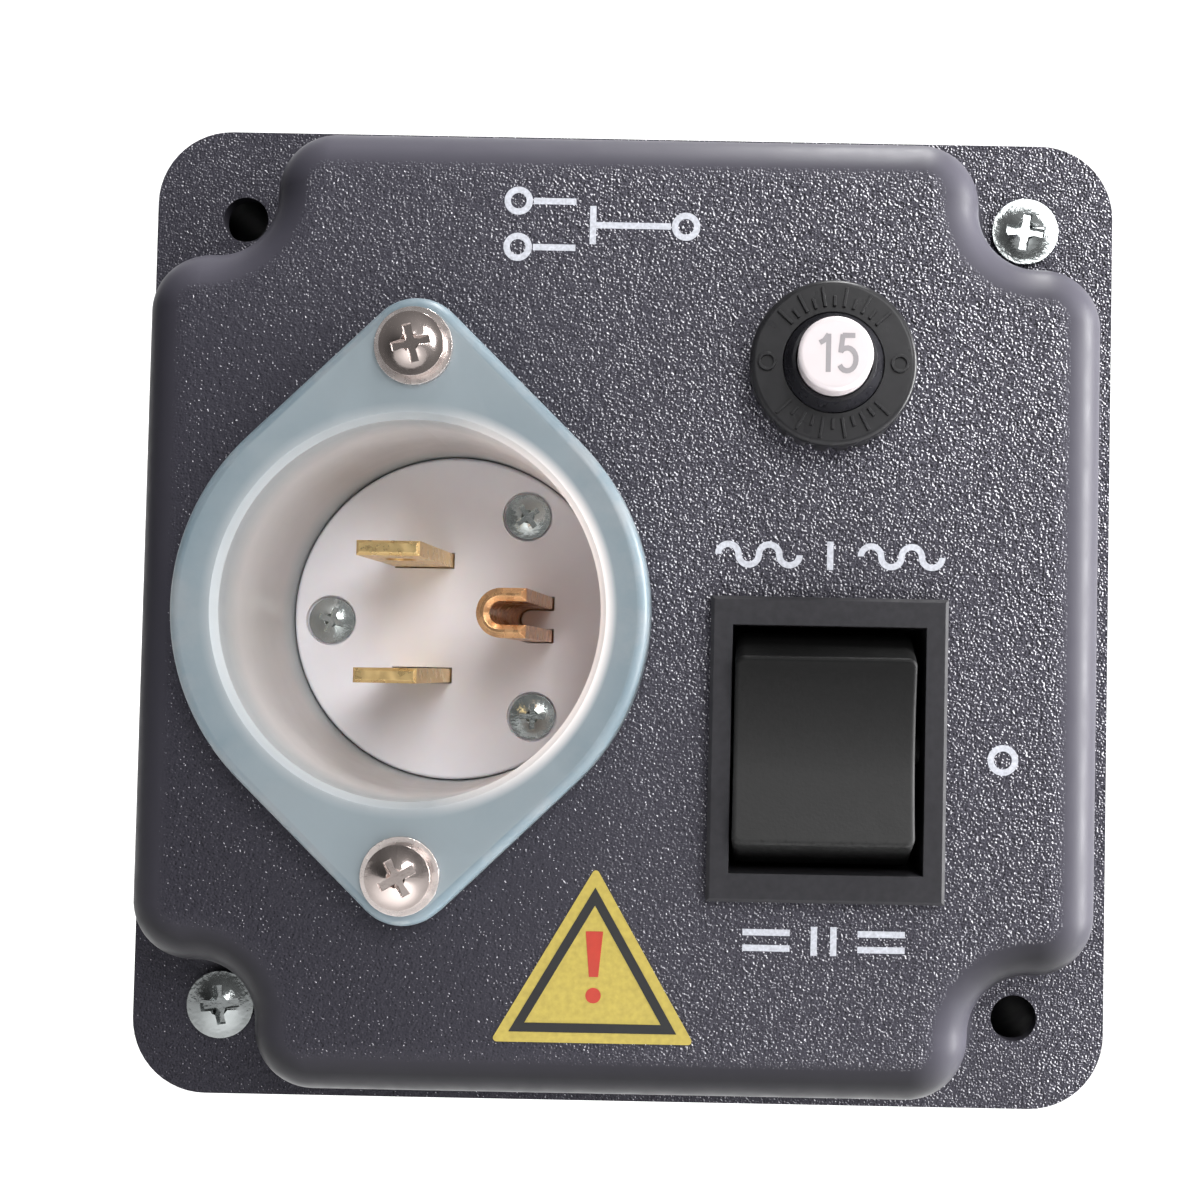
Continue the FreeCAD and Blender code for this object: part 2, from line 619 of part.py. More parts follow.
tab_out = (s.rear_out - s.tab_thick, s.rear_out)
for name, z, sign in (("neutral_blade", neutral_z, 1), ("hot_blade", hot_z, -1)):
    body = new_body(name + "_blank")
    tip_out = s.disc_out + s.blade_length
    pad(body, name + "_strip", (s.rear_out - s.tab_thick, tip_out),
        [rectangle(around(s.blade_x, s.blade_half_width), around(z, s.blade_half_thick))])
    soften(body, name + "_tip", s.blade_chamfer, lambda edge: flat_at(edge, tip_out),
           "PartDesign::Chamfer")
    root_z = z - s.blade_half_thick * sign
    end_z = s.inlet_z + s.tab_reach * sign
    span = (root_z, end_z) if sign > 0 else (end_z, root_z)
    tab = block(name + "_tab", around(s.blade_x, s.tab_half_width), tab_out, span)
    spot = (s.blade_x, s.inlet_z + s.terminal_offset * sign)
    tools = [rod(name + "_tap", s.terminal_shank_radius + 0.05, s.rear_out - 3, s.rear_out + 1, spot),
             rod(name + "_hole", s.blade_hole_radius, z - 2, z + 2,
                 (s.blade_x, s.blade_hole_out), "z")]
    cut(name, fused(name + "_joined", [body, tab]), tools)

pin = new_body("ground_pin_blank")
pin_tip = s.disc_out + s.pin_length
pad(pin, "pin_strip", (s.rear_out - s.tab_thick, pin_tip), [pin_outline(size(0))])
soften(pin, "pin_tip", 0.5, lambda edge: flat_at(edge, pin_tip), "PartDesign::Chamfer")
tab = block("ground_pin_tab", (s.pin_x - s.pin_radius, s.ground_tab_end), tab_out,
            around(s.inlet_z, s.tab_half_width))
tap = rod("ground_pin_tap", s.terminal_shank_radius + 0.05, s.rear_out - 3, s.rear_out + 1,
          terminal_spots["ground"])
cut("ground_pin", fused("ground_pin_joined", [pin, tab]), [tap])

face_screws = []
for index, (x, z) in enumerate(screw_spots):
    tag = f"face_screw_{index}"
    seat = s.disc_out - s.face_screw_recess
    tools = cross_recess(tag, x, z, seat + 1.1, 1.4, 0.85, 0.3, 20 + 35 * index)
    face_screws.append(screw(tag, x, z, seat, s.face_screw_head, size(1.1), s.face_screw_shank,
                             s.rear_out + 5, tools))
group("inlet_face_screws", face_screws)

for name, spot in terminal_spots.items():
    seat = s.rear_out - s.tab_thick - s.ring_thick
    end = seat - s.terminal_head_height
    head = rod(name + "_head", s.terminal_head_radius, end, seat, spot)
    shank = rod(name + "_shank", s.terminal_shank_radius, seat, s.rear_out + 5, spot)
    slot = block(name + "_slot", around(spot[0], 4), (end - 1, end + 0.9), around(spot[1], 0.5))
    cut(name + "_terminal_screw", fused(name + "_screw_blank", [head, shank]), [slot])

mount_screws = []
mount_washers = []
mount_nuts = []
washer_top = inlet_front + s.washer_thick
for index, (x, z) in enumerate(inlet_ears):
    tag = f"mount_screw_{index}"
    tools = cross_recess(tag, x, z, washer_top + s.mount_head_height, 1.85, 1.4, 0.42,
                         -14 - 16 * index)
    mount_screws.append(screw(tag, x, z, washer_top, s.mount_head_radius, s.mount_head_height,
                              s.mount_shank_radius, s.mount_screw_end, tools))
    disk = rod(f"mount_washer_disk_{index}", s.washer_radius, inlet_front, washer_top, (x, z))
    hole = rod(f"mount_washer_hole_{index}", s.mount_shank_radius + 0.1, inlet_front - 1,
               washer_top + 1, (x, z))
    mount_washers.append(cut(f"mount_washer_{index}", disk, [hole]))
    nut_out = (under_face - s.mount_nut_height, under_face)
    nut = hexagon(f"mount_nut_blank_{index}", s.mount_nut_radius, *nut_out, (x, z))
    hole = rod(f"mount_nut_hole_{index}", s.mount_shank_radius + 0.05, nut_out[0] - 1,
               nut_out[1] + 1, (x, z))
    mount_nuts.append(cut(f"mount_nut_{index}", nut, [hole]))
group("inlet_mount_screws", mount_screws)
group("inlet_mount_washers", mount_washers)
group("inlet_mount_nuts", mount_nuts)

# Rocker switch ----------------------------------------------------------------------

pole_x = [s.switch_x - s.pole_offset, s.switch_x + s.pole_offset]
throw_z = [s.switch_z - s.throw_offset, s.switch_z, s.switch_z + s.throw_offset]
bezel_top = face_out + s.bezel_height
housing = new_body("switch_housing_blank")
pad(housing, "housing_block", (s.housing_out, face_out),
    [rectangle(around(s.switch_x, s.housing_half_x), around(s.switch_z, s.housing_half_z))])
pad(housing, "bezel", (face_out, bezel_top),
    [rectangle(around(s.switch_x, s.bezel_half_x), around(s.switch_z, s.bezel_half_z))])
soften(housing, "bezel_edge", 0.35, lambda edge: flat_at(edge, bezel_top),
       "PartDesign::Chamfer")
pocket(housing, "housing_cavity", (s.cavity_out, bezel_top),
       [rectangle(around(s.switch_x, s.opening_half_x), around(s.switch_z, s.opening_half_z))])
pocket(housing, "housing_slots", (s.housing_out, s.cavity_out),
       [rectangle(around(x, s.tab_half + 0.1), around(z, s.tab_half_thick + 0.1))
        for x in pole_x for z in throw_z])
snaps = []
for sign in (-1, 1):
    edge_z = s.switch_z + s.housing_half_z * sign
    tip_z = edge_z + s.snap_depth * sign
    base_z = edge_z - 0.5 * sign
    span = (base_z, tip_z) if sign > 0 else (tip_z, base_z)
    snaps.append(block(f"snap_{sign + 1}", around(s.switch_x, 5.0),
                       (under_face - 5.0, under_face - 0.2), span))
pivot_hole = rod("pivot_hole", s.trunnion_radius + 0.05, s.switch_x - 12, s.switch_x + 12,
                 (s.pivot_out, s.switch_z), "x")
cut("switch_housing", fused("switch_housing_joined", [housing] + snaps), [pivot_hole])

rocker = new_body("rocker_blank")
sketch = new_sketch(rocker, "rocker_sketch", "YZ_Plane",
                    s.switch_x - s.rocker_half_x - s.rocker_shift)
rocker_side = [(s.keel_z, s.keel_out), (s.hip_z, s.hip_out), (s.skirt_z, s.skirt_out),
               (s.ridge_z, s.ridge_out)]
outline = [(-out, s.switch_z + z) for z, out in rocker_side]
outline += [(-out, s.switch_z - z) for z, out in reversed(rocker_side)]
draw_loop(sketch, outline, {3: (s.saddle_radius, -1)})
feature = rocker.newObject("PartDesign::Pad", "rocker_pad")
feature.Profile = sketch
bind(feature, "Length", s.rocker_half_x * 2)
doc.recompute()
soften(rocker, "slope_round", 0.9,
       lambda edge: edge.BoundBox.YLength > 4 and edge.BoundBox.ZLength > 1
       and edge.BoundBox.YMax < -s.skirt_out.number + 0.1)
soften(rocker, "ridge_round", s.ridge_round,
       lambda edge: edge.BoundBox.YMax < -s.skirt_out.number - 1)
tools = [rod(f"plunger_bore_{index}", s.plunger_bore, s.keel_out - 1, s.bore_top, (x, s.switch_z))
         for index, x in enumerate(pole_x)]
trunnion = rod("trunnion", s.trunnion_radius, s.switch_x - s.trunnion_reach,
               s.switch_x + s.trunnion_reach, (s.pivot_out, s.switch_z), "x")
cut("rocker", fused("rocker_joined", [rocker, trunnion]), tools)


def coil(label, spots, start, stop, radius, wire, pitch):
    """Helical springs about outward axes, one at each spot."""
    radius, wire, pitch = radius.number, wire.number, pitch.number
    start, stop = size(start).number + wire, size(stop).number - wire
    shapes = []
    for x, z in spots:
        helix = Part.makeHelix(pitch, stop - start, radius)
        ring = Part.Wire(Part.makeCircle(wire, Vector(radius, 0, 0), Vector(0, 1, 0)))
        spring = Part.Wire(helix.Edges).makePipeShell([ring], True, True)
        spring.Placement = FreeCAD.Placement(
            Vector(size(x).number, -start, size(z).number), OUTWARD)
        shapes.append(spring)
    item = doc.addObject("Part::Feature", label)
    item.Shape = Part.makeCompound(shapes)
    item.Placement = FreeCAD.Placement()
    return item


plungers = []
for index, x in enumerate(pole_x):
    tip = s.plunger_tip + s.plunger_radius
    body = new_body(f"plunger_{index}")
    turned(body, f"plunger_turned_{index}",
           [(s.plunger_tip, size(0)), (s.plunger_top, size(0)), (s.plunger_top, s.plunger_radius),
            (tip, s.plunger_radius)], x, s.switch_z, arcs={3: (s.plunger_radius, -1)})
    plungers.append(body)
group("switch_plungers", plungers)
coil("plunger_springs", [(x, s.switch_z) for x in pole_x], s.plunger_top, s.bore_top,
     s.plunger_spring_radius, s.plunger_spring_wire, s.plunger_spring_pitch)

arms = []
for index, x in enumerate(pole_x):
    parts = [block(f"arm_plate_{index}", around(x, s.arm_half_width),
                   (s.arm_out, s.arm_out + s.arm_thick), around(s.switch_z, s.arm_half_length))]
    for end, z in enumerate((throw_z[0], throw_z[2])):
        parts.append(rod(f"arm_button_{index}_{end}", s.contact_radius,
                         s.arm_out - s.arm_button, s.arm_out, (x, z)))
    arms.append(fused(f"contact_arm_{index}", parts))
group("contact_arms", arms)

commons = []
throws = []
for index, x in enumerate(pole_x):
    tab_x = around(x, s.tab_half)
    strip = block(f"common_strip_{index}", tab_x, (s.switch_tab_out, s.saddle_top - 0.6),
                  around(s.switch_z, s.tab_half_thick))
    saddle = block(f"common_saddle_{index}", around(x, s.arm_half_width),
                   (s.cavity_out, s.saddle_top), around(s.switch_z, 0.8))
    commons.append(fused(f"common_terminal_{index}", [strip, saddle]))
    for end, z in enumerate((throw_z[0], throw_z[2])):
        strip = block(f"throw_strip_{index}_{end}", tab_x, (s.switch_tab_out, s.cavity_out + 0.5),
                      around(z, s.tab_half_thick))
        button = rod(f"throw_button_{index}_{end}", s.contact_radius, s.cavity_out,
                     s.contact_top, (x, z))
        throws.append(fused(f"throw_terminal_{index}_{end}", [strip, button]))
group("switch_common_terminals", commons)
group("switch_throw_terminals", throws)

# Breaker ----------------------------------------------------------------------------

breaker_spot = (s.breaker_x, s.breaker_z)
breaker_x = around(s.breaker_x, s.breaker_half_x)
breaker_z = around(s.breaker_z, s.breaker_half_z)
cavity_top = s.button_foot + 3.4
lid_x = (breaker_x[1] - s.breaker_wall, breaker_x[1])
shell = new_body("breaker_shell")
pad(shell, "breaker_block", (s.breaker_out, under_face), [rectangle((breaker_x[0], lid_x[0]), breaker_z)])
turned(shell, "neck", [(under_face, size(0)), (s.neck_top, size(0)), (s.neck_top, s.neck_tip_radius),
                       (face_out + s.ring_nut_height, s.neck_radius), (under_face, s.neck_radius)],
       *breaker_spot)
cavity = block("breaker_cavity", (breaker_x[0] + s.breaker_wall, breaker_x[1]),
               (s.breaker_out + s.breaker_wall, cavity_top),
               (breaker_z[0] + s.breaker_wall, breaker_z[1] - s.breaker_wall))
contact_z = [s.breaker_z - s.bridge_offset, s.breaker_z + s.bridge_offset]
bore = rod("neck_bore", s.neck_bore, cavity_top - 1, s.neck_top + 1, breaker_spot)
slots = [block(f"breaker_slot_{index}", around(s.breaker_x, s.tab_half + 0.1),
               (s.breaker_out - 1, s.breaker_out + 3), around(z, s.tab_half_thick + 0.1))
         for index, z in enumerate(contact_z)]
hollow = cut("breaker_hollow", shell, [cavity, bore] + slots)
shelf = block("guide_shelf", (breaker_x[0] + 1, lid_x[0]),
              (s.guide_out, s.guide_out + s.guide_thick),
              (breaker_z[0] + 1, breaker_z[1] - 1))
guide_hole = rod("guide_hole", s.guide_bore, s.guide_out - 1, s.guide_out + 3, breaker_spot)
guide = cut("guide", shelf, [guide_hole])
fused("breaker_body", [hollow, guide])
block("breaker_lid", lid_x, (s.breaker_out, under_face), breaker_z)

nut_out = (face_out, face_out + s.ring_nut_height)
blank = new_body("ring_nut_blank")
pad(blank, "ring_nut_disk", nut_out, [("circle", *breaker_spot, s.ring_nut_radius)])
soften(blank, "ring_nut_round", 0.55, lambda edge: flat_at(edge, nut_out[1]))
tools = [rod("ring_nut_bore", s.ring_nut_bore, nut_out[0] - 1, nut_out[1] + 1, breaker_spot)]
for step in range(24):
    angle = math.radians(step * 15)
    reach = s.ring_nut_radius + 0.15
    spot = (s.breaker_x + reach * math.cos(angle), s.breaker_z + reach * math.sin(angle))
    tools.append(rod(f"ring_nut_notch_{step}", s.ring_nut_notch + 0.15, nut_out[0] - 1,
                     nut_out[1] - 1.2, spot))
cut("breaker_ring_nut", blank, tools)

button = new_body("reset_button")
turned(button, "button_turned",
       [(s.shank_out, size(0)), (s.button_top, size(0)), (s.button_top, s.button_radius),
        (s.button_foot, s.button_radius), (s.button_foot, s.collar_radius),
        (s.collar_out, s.collar_radius), (s.collar_out, s.shank_radius),
        (s.shank_out, s.shank_radius)], *breaker_spot)
soften(button, "button_round", 0.45, lambda edge: flat_at(edge, s.button_top))

coil("reset_spring", [breaker_spot], s.guide_out + s.guide_thick + 0.3, s.collar_out - 0.3,
     s.reset_spring_radius, s.reset_spring_wire, s.reset_spring_pitch)

plate = block("bridge_plate", around(s.breaker_x, s.bridge_half_x),
              (s.bridge_out, s.bridge_out + s.bridge_thick), around(s.breaker_z, s.bridge_half))
buttons = [rod(f"bridge_button_{index}", s.contact_radius, s.bridge_out - 1, s.bridge_out,
               (s.breaker_x, z)) for index, z in enumerate(contact_z)]
hole = rod("bridge_hole", s.shank_radius, s.bridge_out - 1, s.bridge_out + 2, breaker_spot)
cut("contact_bridge", fused("bridge_joined", [plate] + buttons), [hole])

bimetal_z = (s.breaker_z + s.bimetal_end, breaker_z[1] - s.breaker_wall)
block("bimetal_strip", around(s.breaker_x, s.bridge_half_x),
      (s.bimetal_out, s.bimetal_out + s.bimetal_thick), bimetal_z)

terminals = []
for index, z in enumerate(contact_z):
    top = s.breaker_contact_top - 0.6
    strip = block(f"breaker_strip_{index}", around(s.breaker_x, s.tab_half),
                  (s.breaker_tab_out, top), around(z, s.tab_half_thick))
    button = rod(f"breaker_contact_{index}", s.contact_radius, top, s.breaker_contact_top,
                 (s.breaker_x, z))
    terminals.append(fused(f"breaker_terminal_{index}", [strip, button]))
group("breaker_terminals", terminals)

# Wiring -----------------------------------------------------------------------------

def sleeve(tag, x, z, tab_end, base):
    """Insulated push-on sleeve round a flat tab, ending just short of a body."""
    top = size(base) - s.sleeve_gap
    shell = block(tag + "_shell", around(x, s.sleeve_half_x), (top - s.sleeve_length, top),
                  around(z, s.sleeve_half_z))
    slot = block(tag + "_slot", around(x, s.tab_half + 0.05), (size(tab_end) - 0.05, top + 1),
                 around(z, s.tab_half_thick + 0.05))
    return cut(tag, shell, [slot])


sleeves = [sleeve(f"sleeve_{i}_{j}", x, z, s.switch_tab_out, s.housing_out)
           for i, x in enumerate(pole_x) for j, z in enumerate(throw_z)]
sleeves += [sleeve(f"breaker_sleeve_{index}", s.breaker_x, z, s.breaker_tab_out, s.breaker_out)
            for index, z in enumerate(contact_z)]
group("quick_connects", sleeves)


def ring_terminal(tag, spot, out, heading, sign, bore=1.85, clearance=3.9):
    """Ring under a screw head with a crimp barrel along a heading."""
    disk = rod(tag + "_disk", s.ring_radius, out, size(out) + s.ring_thick, spot)
    middle = size(out) + s.ring_thick / 2
    span = (s.barrel_start * sign, s.barrel_end * sign)
    span = span if sign > 0 else (span[1], span[0])
    depth = (middle - 1.3, middle + 1.3)
    if heading == "x":
        barrel = block(tag + "_barrel", (span[0] + spot[0], span[1] + spot[0]), depth,
                       around(spot[1], s.barrel_half))
    else:
        barrel = block(tag + "_barrel", around(spot[0], s.barrel_half), depth,
                       (span[0] + spot[1], span[1] + spot[1]))
    clear = rod(tag + "_clear", clearance, size(out) + s.ring_thick, size(out) + 6, spot)
    under = rod(tag + "_under", clearance, size(out) - 6, out, spot)
    hole = rod(tag + "_hole", bore, size(out) - 1, size(out) + 2, spot)
    return cut(tag, fused(tag + "_joined", [disk, barrel]), [clear, under, hole])


lug_out = s.rear_out - s.tab_thick - s.ring_thick
lug_middle = lug_out + s.ring_thick / 2
lugs = [ring_terminal("lug_neutral", terminal_spots["neutral"], lug_out, "z", 1),
        ring_terminal("lug_hot", terminal_spots["hot"], lug_out, "z", -1),
        ring_terminal("lug_ground", terminal_spots["ground"], lug_out, "x", 1),
        ring_terminal("lug_box", ground_spot, boss_top, "x", 1, 2.45, 5.8)]
group("ring_terminals", lugs)


def wire(label, corners):
    """Round insulated wire of straight runs joined by tangent arcs; corners are x, out, z."""
    spots = [Vector(size(x).number, -size(out).number, size(z).number) for x, out, z in corners]
    bend = s.wire_bend.number
    edges = []
    here = spots[0]
    for index in range(1, len(spots) - 1):
        before = (spots[index - 1] - spots[index]).normalize()
        after = (spots[index + 1] - spots[index]).normalize()
        half = before.getAngle(after) / 2
        trim = bend / math.tan(half)
        start = spots[index] + before * trim
        stop = spots[index] + after * trim
        middle = (before + after).normalize()
        crest = spots[index] + middle * (bend / math.sin(half) - bend)
        edges.append(Part.LineSegment(here, start).toShape())
        edges.append(Part.Arc(start, crest, stop).toShape())
        here = stop
    edges.append(Part.LineSegment(here, spots[-1]).toShape())
    path = Part.Wire(edges)
    ring = Part.Wire(Part.makeCircle(s.wire_radius.number, spots[0], spots[1] - spots[0]))
    shape = path.makePipeShell([ring], True, True)
    expected = math.pi * s.wire_radius.number ** 2 * path.Length
    if abs(shape.Volume / expected - 1) > 0.01:
        raise RuntimeError(f"{label} is not an even tube")
    item = doc.addObject("Part::Feature", label)
    item.Shape = shape
    item.Placement = FreeCAD.Placement()
    return item


switch_end = s.housing_out - s.sleeve_gap - s.sleeve_length
breaker_end = s.breaker_out - s.sleeve_gap - s.sleeve_length
hot_x, hot_start = terminal_spots["hot"][0], terminal_spots["hot"][1] - s.barrel_end
neutral_start = terminal_spots["neutral"][1] + s.barrel_end
ground_start = terminal_spots["ground"][0] + s.barrel_end
left_pole, right_pole = pole_x
lower, common, upper = throw_z
wire("wire_inlet_to_breaker", [
    (hot_x, lug_middle, hot_start), (hot_x, lug_middle, hot_start - 5.6),
    (hot_x, 8.5, hot_start - 5.6), (0, 8.5, hot_start - 5.6),
    (s.breaker_x, 8.5, contact_z[0]), (s.breaker_x, breaker_end, contact_z[0])])
wire("wire_breaker_to_switch", [
    (s.breaker_x, breaker_end, contact_z[1]), (s.breaker_x, 12.5, contact_z[1]),
    (11, 12.5, 14), (left_pole, 12.5, upper), (left_pole, switch_end, upper)])
wire("wire_inlet_neutral", [
    (hot_x, lug_middle, neutral_start), (hot_x, lug_middle, neutral_start + 6),
    (hot_x, 16.5, neutral_start + 6), (right_pole, 16.5, upper), (right_pole, switch_end, upper)])
wire("wire_ground", [
    (ground_start, lug_middle, s.inlet_z), (ground_start + 4.5, lug_middle, s.inlet_z),
    (ground_start + 4.5, boss_top + s.ring_thick / 2, s.inlet_z),
    (-10, boss_top + s.ring_thick / 2, s.ground_z),
    (s.ground_x + s.barrel_end, boss_top + s.ring_thick / 2, s.ground_z)])
nut_line_hot = (-8, 20.5, -40)
nut_line_neutral = (-4, 8, -40)
nut_load_hot = (38, 8, 5)
nut_load_neutral = (40, 20.5, 15)
wire("wire_line_hot", [
    (left_pole, switch_end, lower), (left_pole, 20.5, lower), (left_pole, 20.5, -40),
    (nut_line_hot[0] - s.nut_bore_depth, 20.5, -40)])
wire("wire_line_neutral", [
    (right_pole, switch_end, lower), (right_pole, 8, lower), (right_pole, 8, -40),
    (nut_line_neutral[0] - s.nut_bore_depth, 8, -40)])
wire("wire_load_hot", [
    (left_pole, switch_end, common), (left_pole, 8, common), (38, 8, common),
    (38, 8, nut_load_hot[2] + s.nut_bore_depth)])
wire("wire_load_neutral", [
    (right_pole, switch_end, common), (right_pole, 20.5, common), (40, 20.5, common),
    (40, 20.5, nut_load_neutral[2] + s.nut_bore_depth)])


def wire_nut(tag, corner, heading, sign):
    """Twist-on connector with its mouth at a corner, pointing along a heading."""
    x, out, z = corner
    start, across = (x, (out, z)) if heading == "x" else (z, (x, out))
    stop = start + s.nut_length * sign
    deep = start + (s.nut_bore_depth + 0.2) * sign
    bore = s.wire_radius + 0.1
    if sign > 0:
        shell = taper(tag + "_shell", s.nut_mouth_radius, s.nut_tip_radius, start, stop, across, heading)
        hole = rod(tag + "_hole", bore, start - 1, deep, across, heading)
    else:
        shell = taper(tag + "_shell", s.nut_tip_radius, s.nut_mouth_radius, stop, start, across, heading)
        hole = rod(tag + "_hole", bore, deep, start + 1, across, heading)
    return cut(tag, shell, [hole])


group("wire_nuts", [wire_nut("nut_line_hot", nut_line_hot, "x", -1),
                    wire_nut("nut_line_neutral", nut_line_neutral, "x", -1),
                    wire_nut("nut_load_hot", nut_load_hot, "z", 1),
                    wire_nut("nut_load_neutral", nut_load_neutral, "z", 1)])

# Sticker and printing ---------------------------------------------------------------

def triangle(inset):
    """Sticker outline moved inwards by an inset."""
    height = s.sticker_top - s.sticker_base
    slant = root(height * height + s.sticker_half * s.sticker_half)
    base = s.sticker_base + inset
    top = s.sticker_top - size(inset) * slant / s.sticker_half
    half = s.sticker_half * (top - base) / height
    return ("loop", [(s.sticker_x - half, base), (s.sticker_x + half, base), (s.sticker_x, top)])


sticker_out = (face_out, face_out + s.sticker_thick)
print_on_sticker = (sticker_out[1], sticker_out[1] + s.print_thick)
sticker = new_body("hazard_sticker")
pad(sticker, "sticker_sheet", sticker_out, [triangle(size(0))])
soften(sticker, "sticker_corners", 0.35, lambda edge: edge.BoundBox.YLength > 0.05)
border = new_body("hazard_border")
pad(border, "border_line", print_on_sticker,
    [triangle(s.border_inset), triangle(s.border_inset + s.border_width)])
bar_z = (s.sticker_base + 6.4, s.sticker_base + 10.8)
bar = new_body("hazard_bar")
pad(bar, "bar_line", print_on_sticker,
    [("loop", [(s.sticker_x - 0.45, bar_z[0]), (s.sticker_x + 0.45, bar_z[0]),
               (s.sticker_x + 0.85, bar_z[1]), (s.sticker_x - 0.85, bar_z[1])])])
dot = rod("hazard_dot", 0.75, *print_on_sticker, (s.sticker_x, s.sticker_base + 4.6))
group("hazard_mark", [bar, dot])

print_out = (face_out, face_out + s.print_thick)
line = s.print_line / 2
marks = []


def stroke(tag, x, z):
    marks.append(block(tag, x, print_out, z))


def ring_mark(tag, x, z, radius):
    outer = rod(tag + "_outer", radius, *print_out, (x, z))
    inner = rod(tag + "_inner", radius - s.print_line, print_out[0] - 1, print_out[1] + 1, (x, z))
    marks.append(cut(tag, outer, [inner]))


def wave_mark(tag, start, z, halves, radius=1.0):
    """Wavy line of half rings that curve up and down in turn."""
    for index in range(halves):
        x = start + radius * (2 * index + 1)
        outer = rod(f"{tag}_outer_{index}", radius + line, *print_out, (x, z))
        inner = rod(f"{tag}_inner_{index}", radius - line, print_out[0] - 1, print_out[1] + 1,
                    (x, z))
        hidden = (z - 3, size(z)) if index % 2 == 0 else (size(z), z + 3)
        cover_up = block(f"{tag}_half_{index}", around(x, 3), (print_out[0] - 1, print_out[1] + 1),
                         hidden)
        marks.append(cut(f"{tag}_{index}", outer, [inner, cover_up]))


ring_mark("mark_off", size(38.1), size(-13.9), size(1.5))
stroke("mark_one", around(s.switch_x, line), around(5.8, 1.4))
wave_mark("mark_wave_left", s.switch_x - 11.0, 5.8, 4)
wave_mark("mark_wave_right", s.switch_x + 3.0, 5.8, 4)
for index, shift in enumerate((-0.95, 0.95)):
    stroke(f"mark_two_{index}", around(s.switch_x + shift, line), around(-31.8, 1.4))
    for side in (-1, 1):
        reach = (s.switch_x + side * 5.6 - 2.3, s.switch_x + side * 5.6 + 2.3)
        stroke(f"mark_mains_{index}_{side + 1}", reach, around(-31.8 + shift * 0.8, line))
title_x = size(-2.2)
for index, z in enumerate((40.4, 35.8)):
    ring_mark(f"title_source_{index}", title_x - 8.3, size(z), size(1.4))
    stroke(f"title_lead_{index}", (title_x - 6.8, title_x - 2.6), around(z, line))
stroke("title_blade", (title_x - 0.6, title_x + 6.8), around(38.1, line))
stroke("title_post", around(title_x - 0.9, line), (size(36.2), size(40.0)))
ring_mark("title_load", title_x + 8.3, size(38.1), size(1.4))
group("printed_marks", marks)

# Nodes and export -------------------------------------------------------------------

NODES = [
    "box_body", "box_ears", "cover_plate", "cover_screws", "ground_screw",
    "inlet_flange", "inlet_disc", "inlet_rear_body", "neutral_blade", "hot_blade", "ground_pin",
    "inlet_face_screws", "neutral_terminal_screw", "hot_terminal_screw",
    "ground_terminal_screw", "inlet_mount_screws", "inlet_mount_washers", "inlet_mount_nuts",
    "switch_housing", "rocker", "switch_plungers", "plunger_springs", "contact_arms",
    "switch_common_terminals", "switch_throw_terminals",
    "breaker_body", "breaker_lid", "breaker_ring_nut", "reset_button", "reset_spring",
    "contact_bridge", "bimetal_strip", "breaker_terminals",
    "quick_connects", "ring_terminals", "wire_inlet_to_breaker", "wire_breaker_to_switch",
    "wire_inlet_neutral", "wire_ground", "wire_line_hot", "wire_line_neutral",
    "wire_load_hot", "wire_load_neutral", "wire_nuts",
    "hazard_sticker", "hazard_border", "hazard_mark", "printed_marks",
]

doc.recompute()
for item in doc.Objects:
    if "Invalid" in item.State or "Error" in item.State:
        raise RuntimeError(f"{item.Label} did not build")
by_label = {item.Label: item for item in doc.Objects}
for node in NODES:
    shape = by_label[node].Shape
    if shape.isNull() or not shape.isValid() or not shape.Solids:
        raise RuntimeError(f"{node} has no valid solid")
    shape.exportStep(f"parts/{node}.step")
    print(node, len(shape.Solids), "solids", round(shape.Volume, 1), "mm3")
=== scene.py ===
import math

import bmesh
import bpy
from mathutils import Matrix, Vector


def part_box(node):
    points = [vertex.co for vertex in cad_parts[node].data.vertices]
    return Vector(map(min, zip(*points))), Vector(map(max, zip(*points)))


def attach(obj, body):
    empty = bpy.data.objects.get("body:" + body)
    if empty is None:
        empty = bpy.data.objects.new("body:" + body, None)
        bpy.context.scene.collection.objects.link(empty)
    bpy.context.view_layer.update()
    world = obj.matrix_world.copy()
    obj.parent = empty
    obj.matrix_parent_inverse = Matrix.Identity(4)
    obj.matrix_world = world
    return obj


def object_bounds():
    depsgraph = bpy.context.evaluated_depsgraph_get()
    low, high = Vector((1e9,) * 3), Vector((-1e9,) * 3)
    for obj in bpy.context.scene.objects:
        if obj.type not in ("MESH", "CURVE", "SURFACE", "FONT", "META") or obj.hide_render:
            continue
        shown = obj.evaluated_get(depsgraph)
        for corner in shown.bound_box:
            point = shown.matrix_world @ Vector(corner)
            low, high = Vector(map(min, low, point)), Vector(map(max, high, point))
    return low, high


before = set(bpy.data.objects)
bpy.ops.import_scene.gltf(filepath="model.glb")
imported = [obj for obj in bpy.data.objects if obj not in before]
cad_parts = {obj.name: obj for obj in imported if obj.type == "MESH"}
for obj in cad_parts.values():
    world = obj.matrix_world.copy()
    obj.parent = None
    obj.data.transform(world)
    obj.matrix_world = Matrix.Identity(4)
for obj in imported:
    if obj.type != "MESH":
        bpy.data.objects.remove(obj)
CAD_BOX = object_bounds()
MM = 0.001

# The frame: X right, Z up, the face looks along -Y and the wall is the plane y = 0.
# "out" is the distance from the wall, so y = -out.
FACE_OUT = -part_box("cover_plate")[0].y
INLET = (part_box("inlet_disc")[0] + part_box("inlet_disc")[1]) / 2
BREAKER = (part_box("reset_button")[0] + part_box("reset_button")[1]) / 2


# Node helpers -----------------------------------------------------------------------

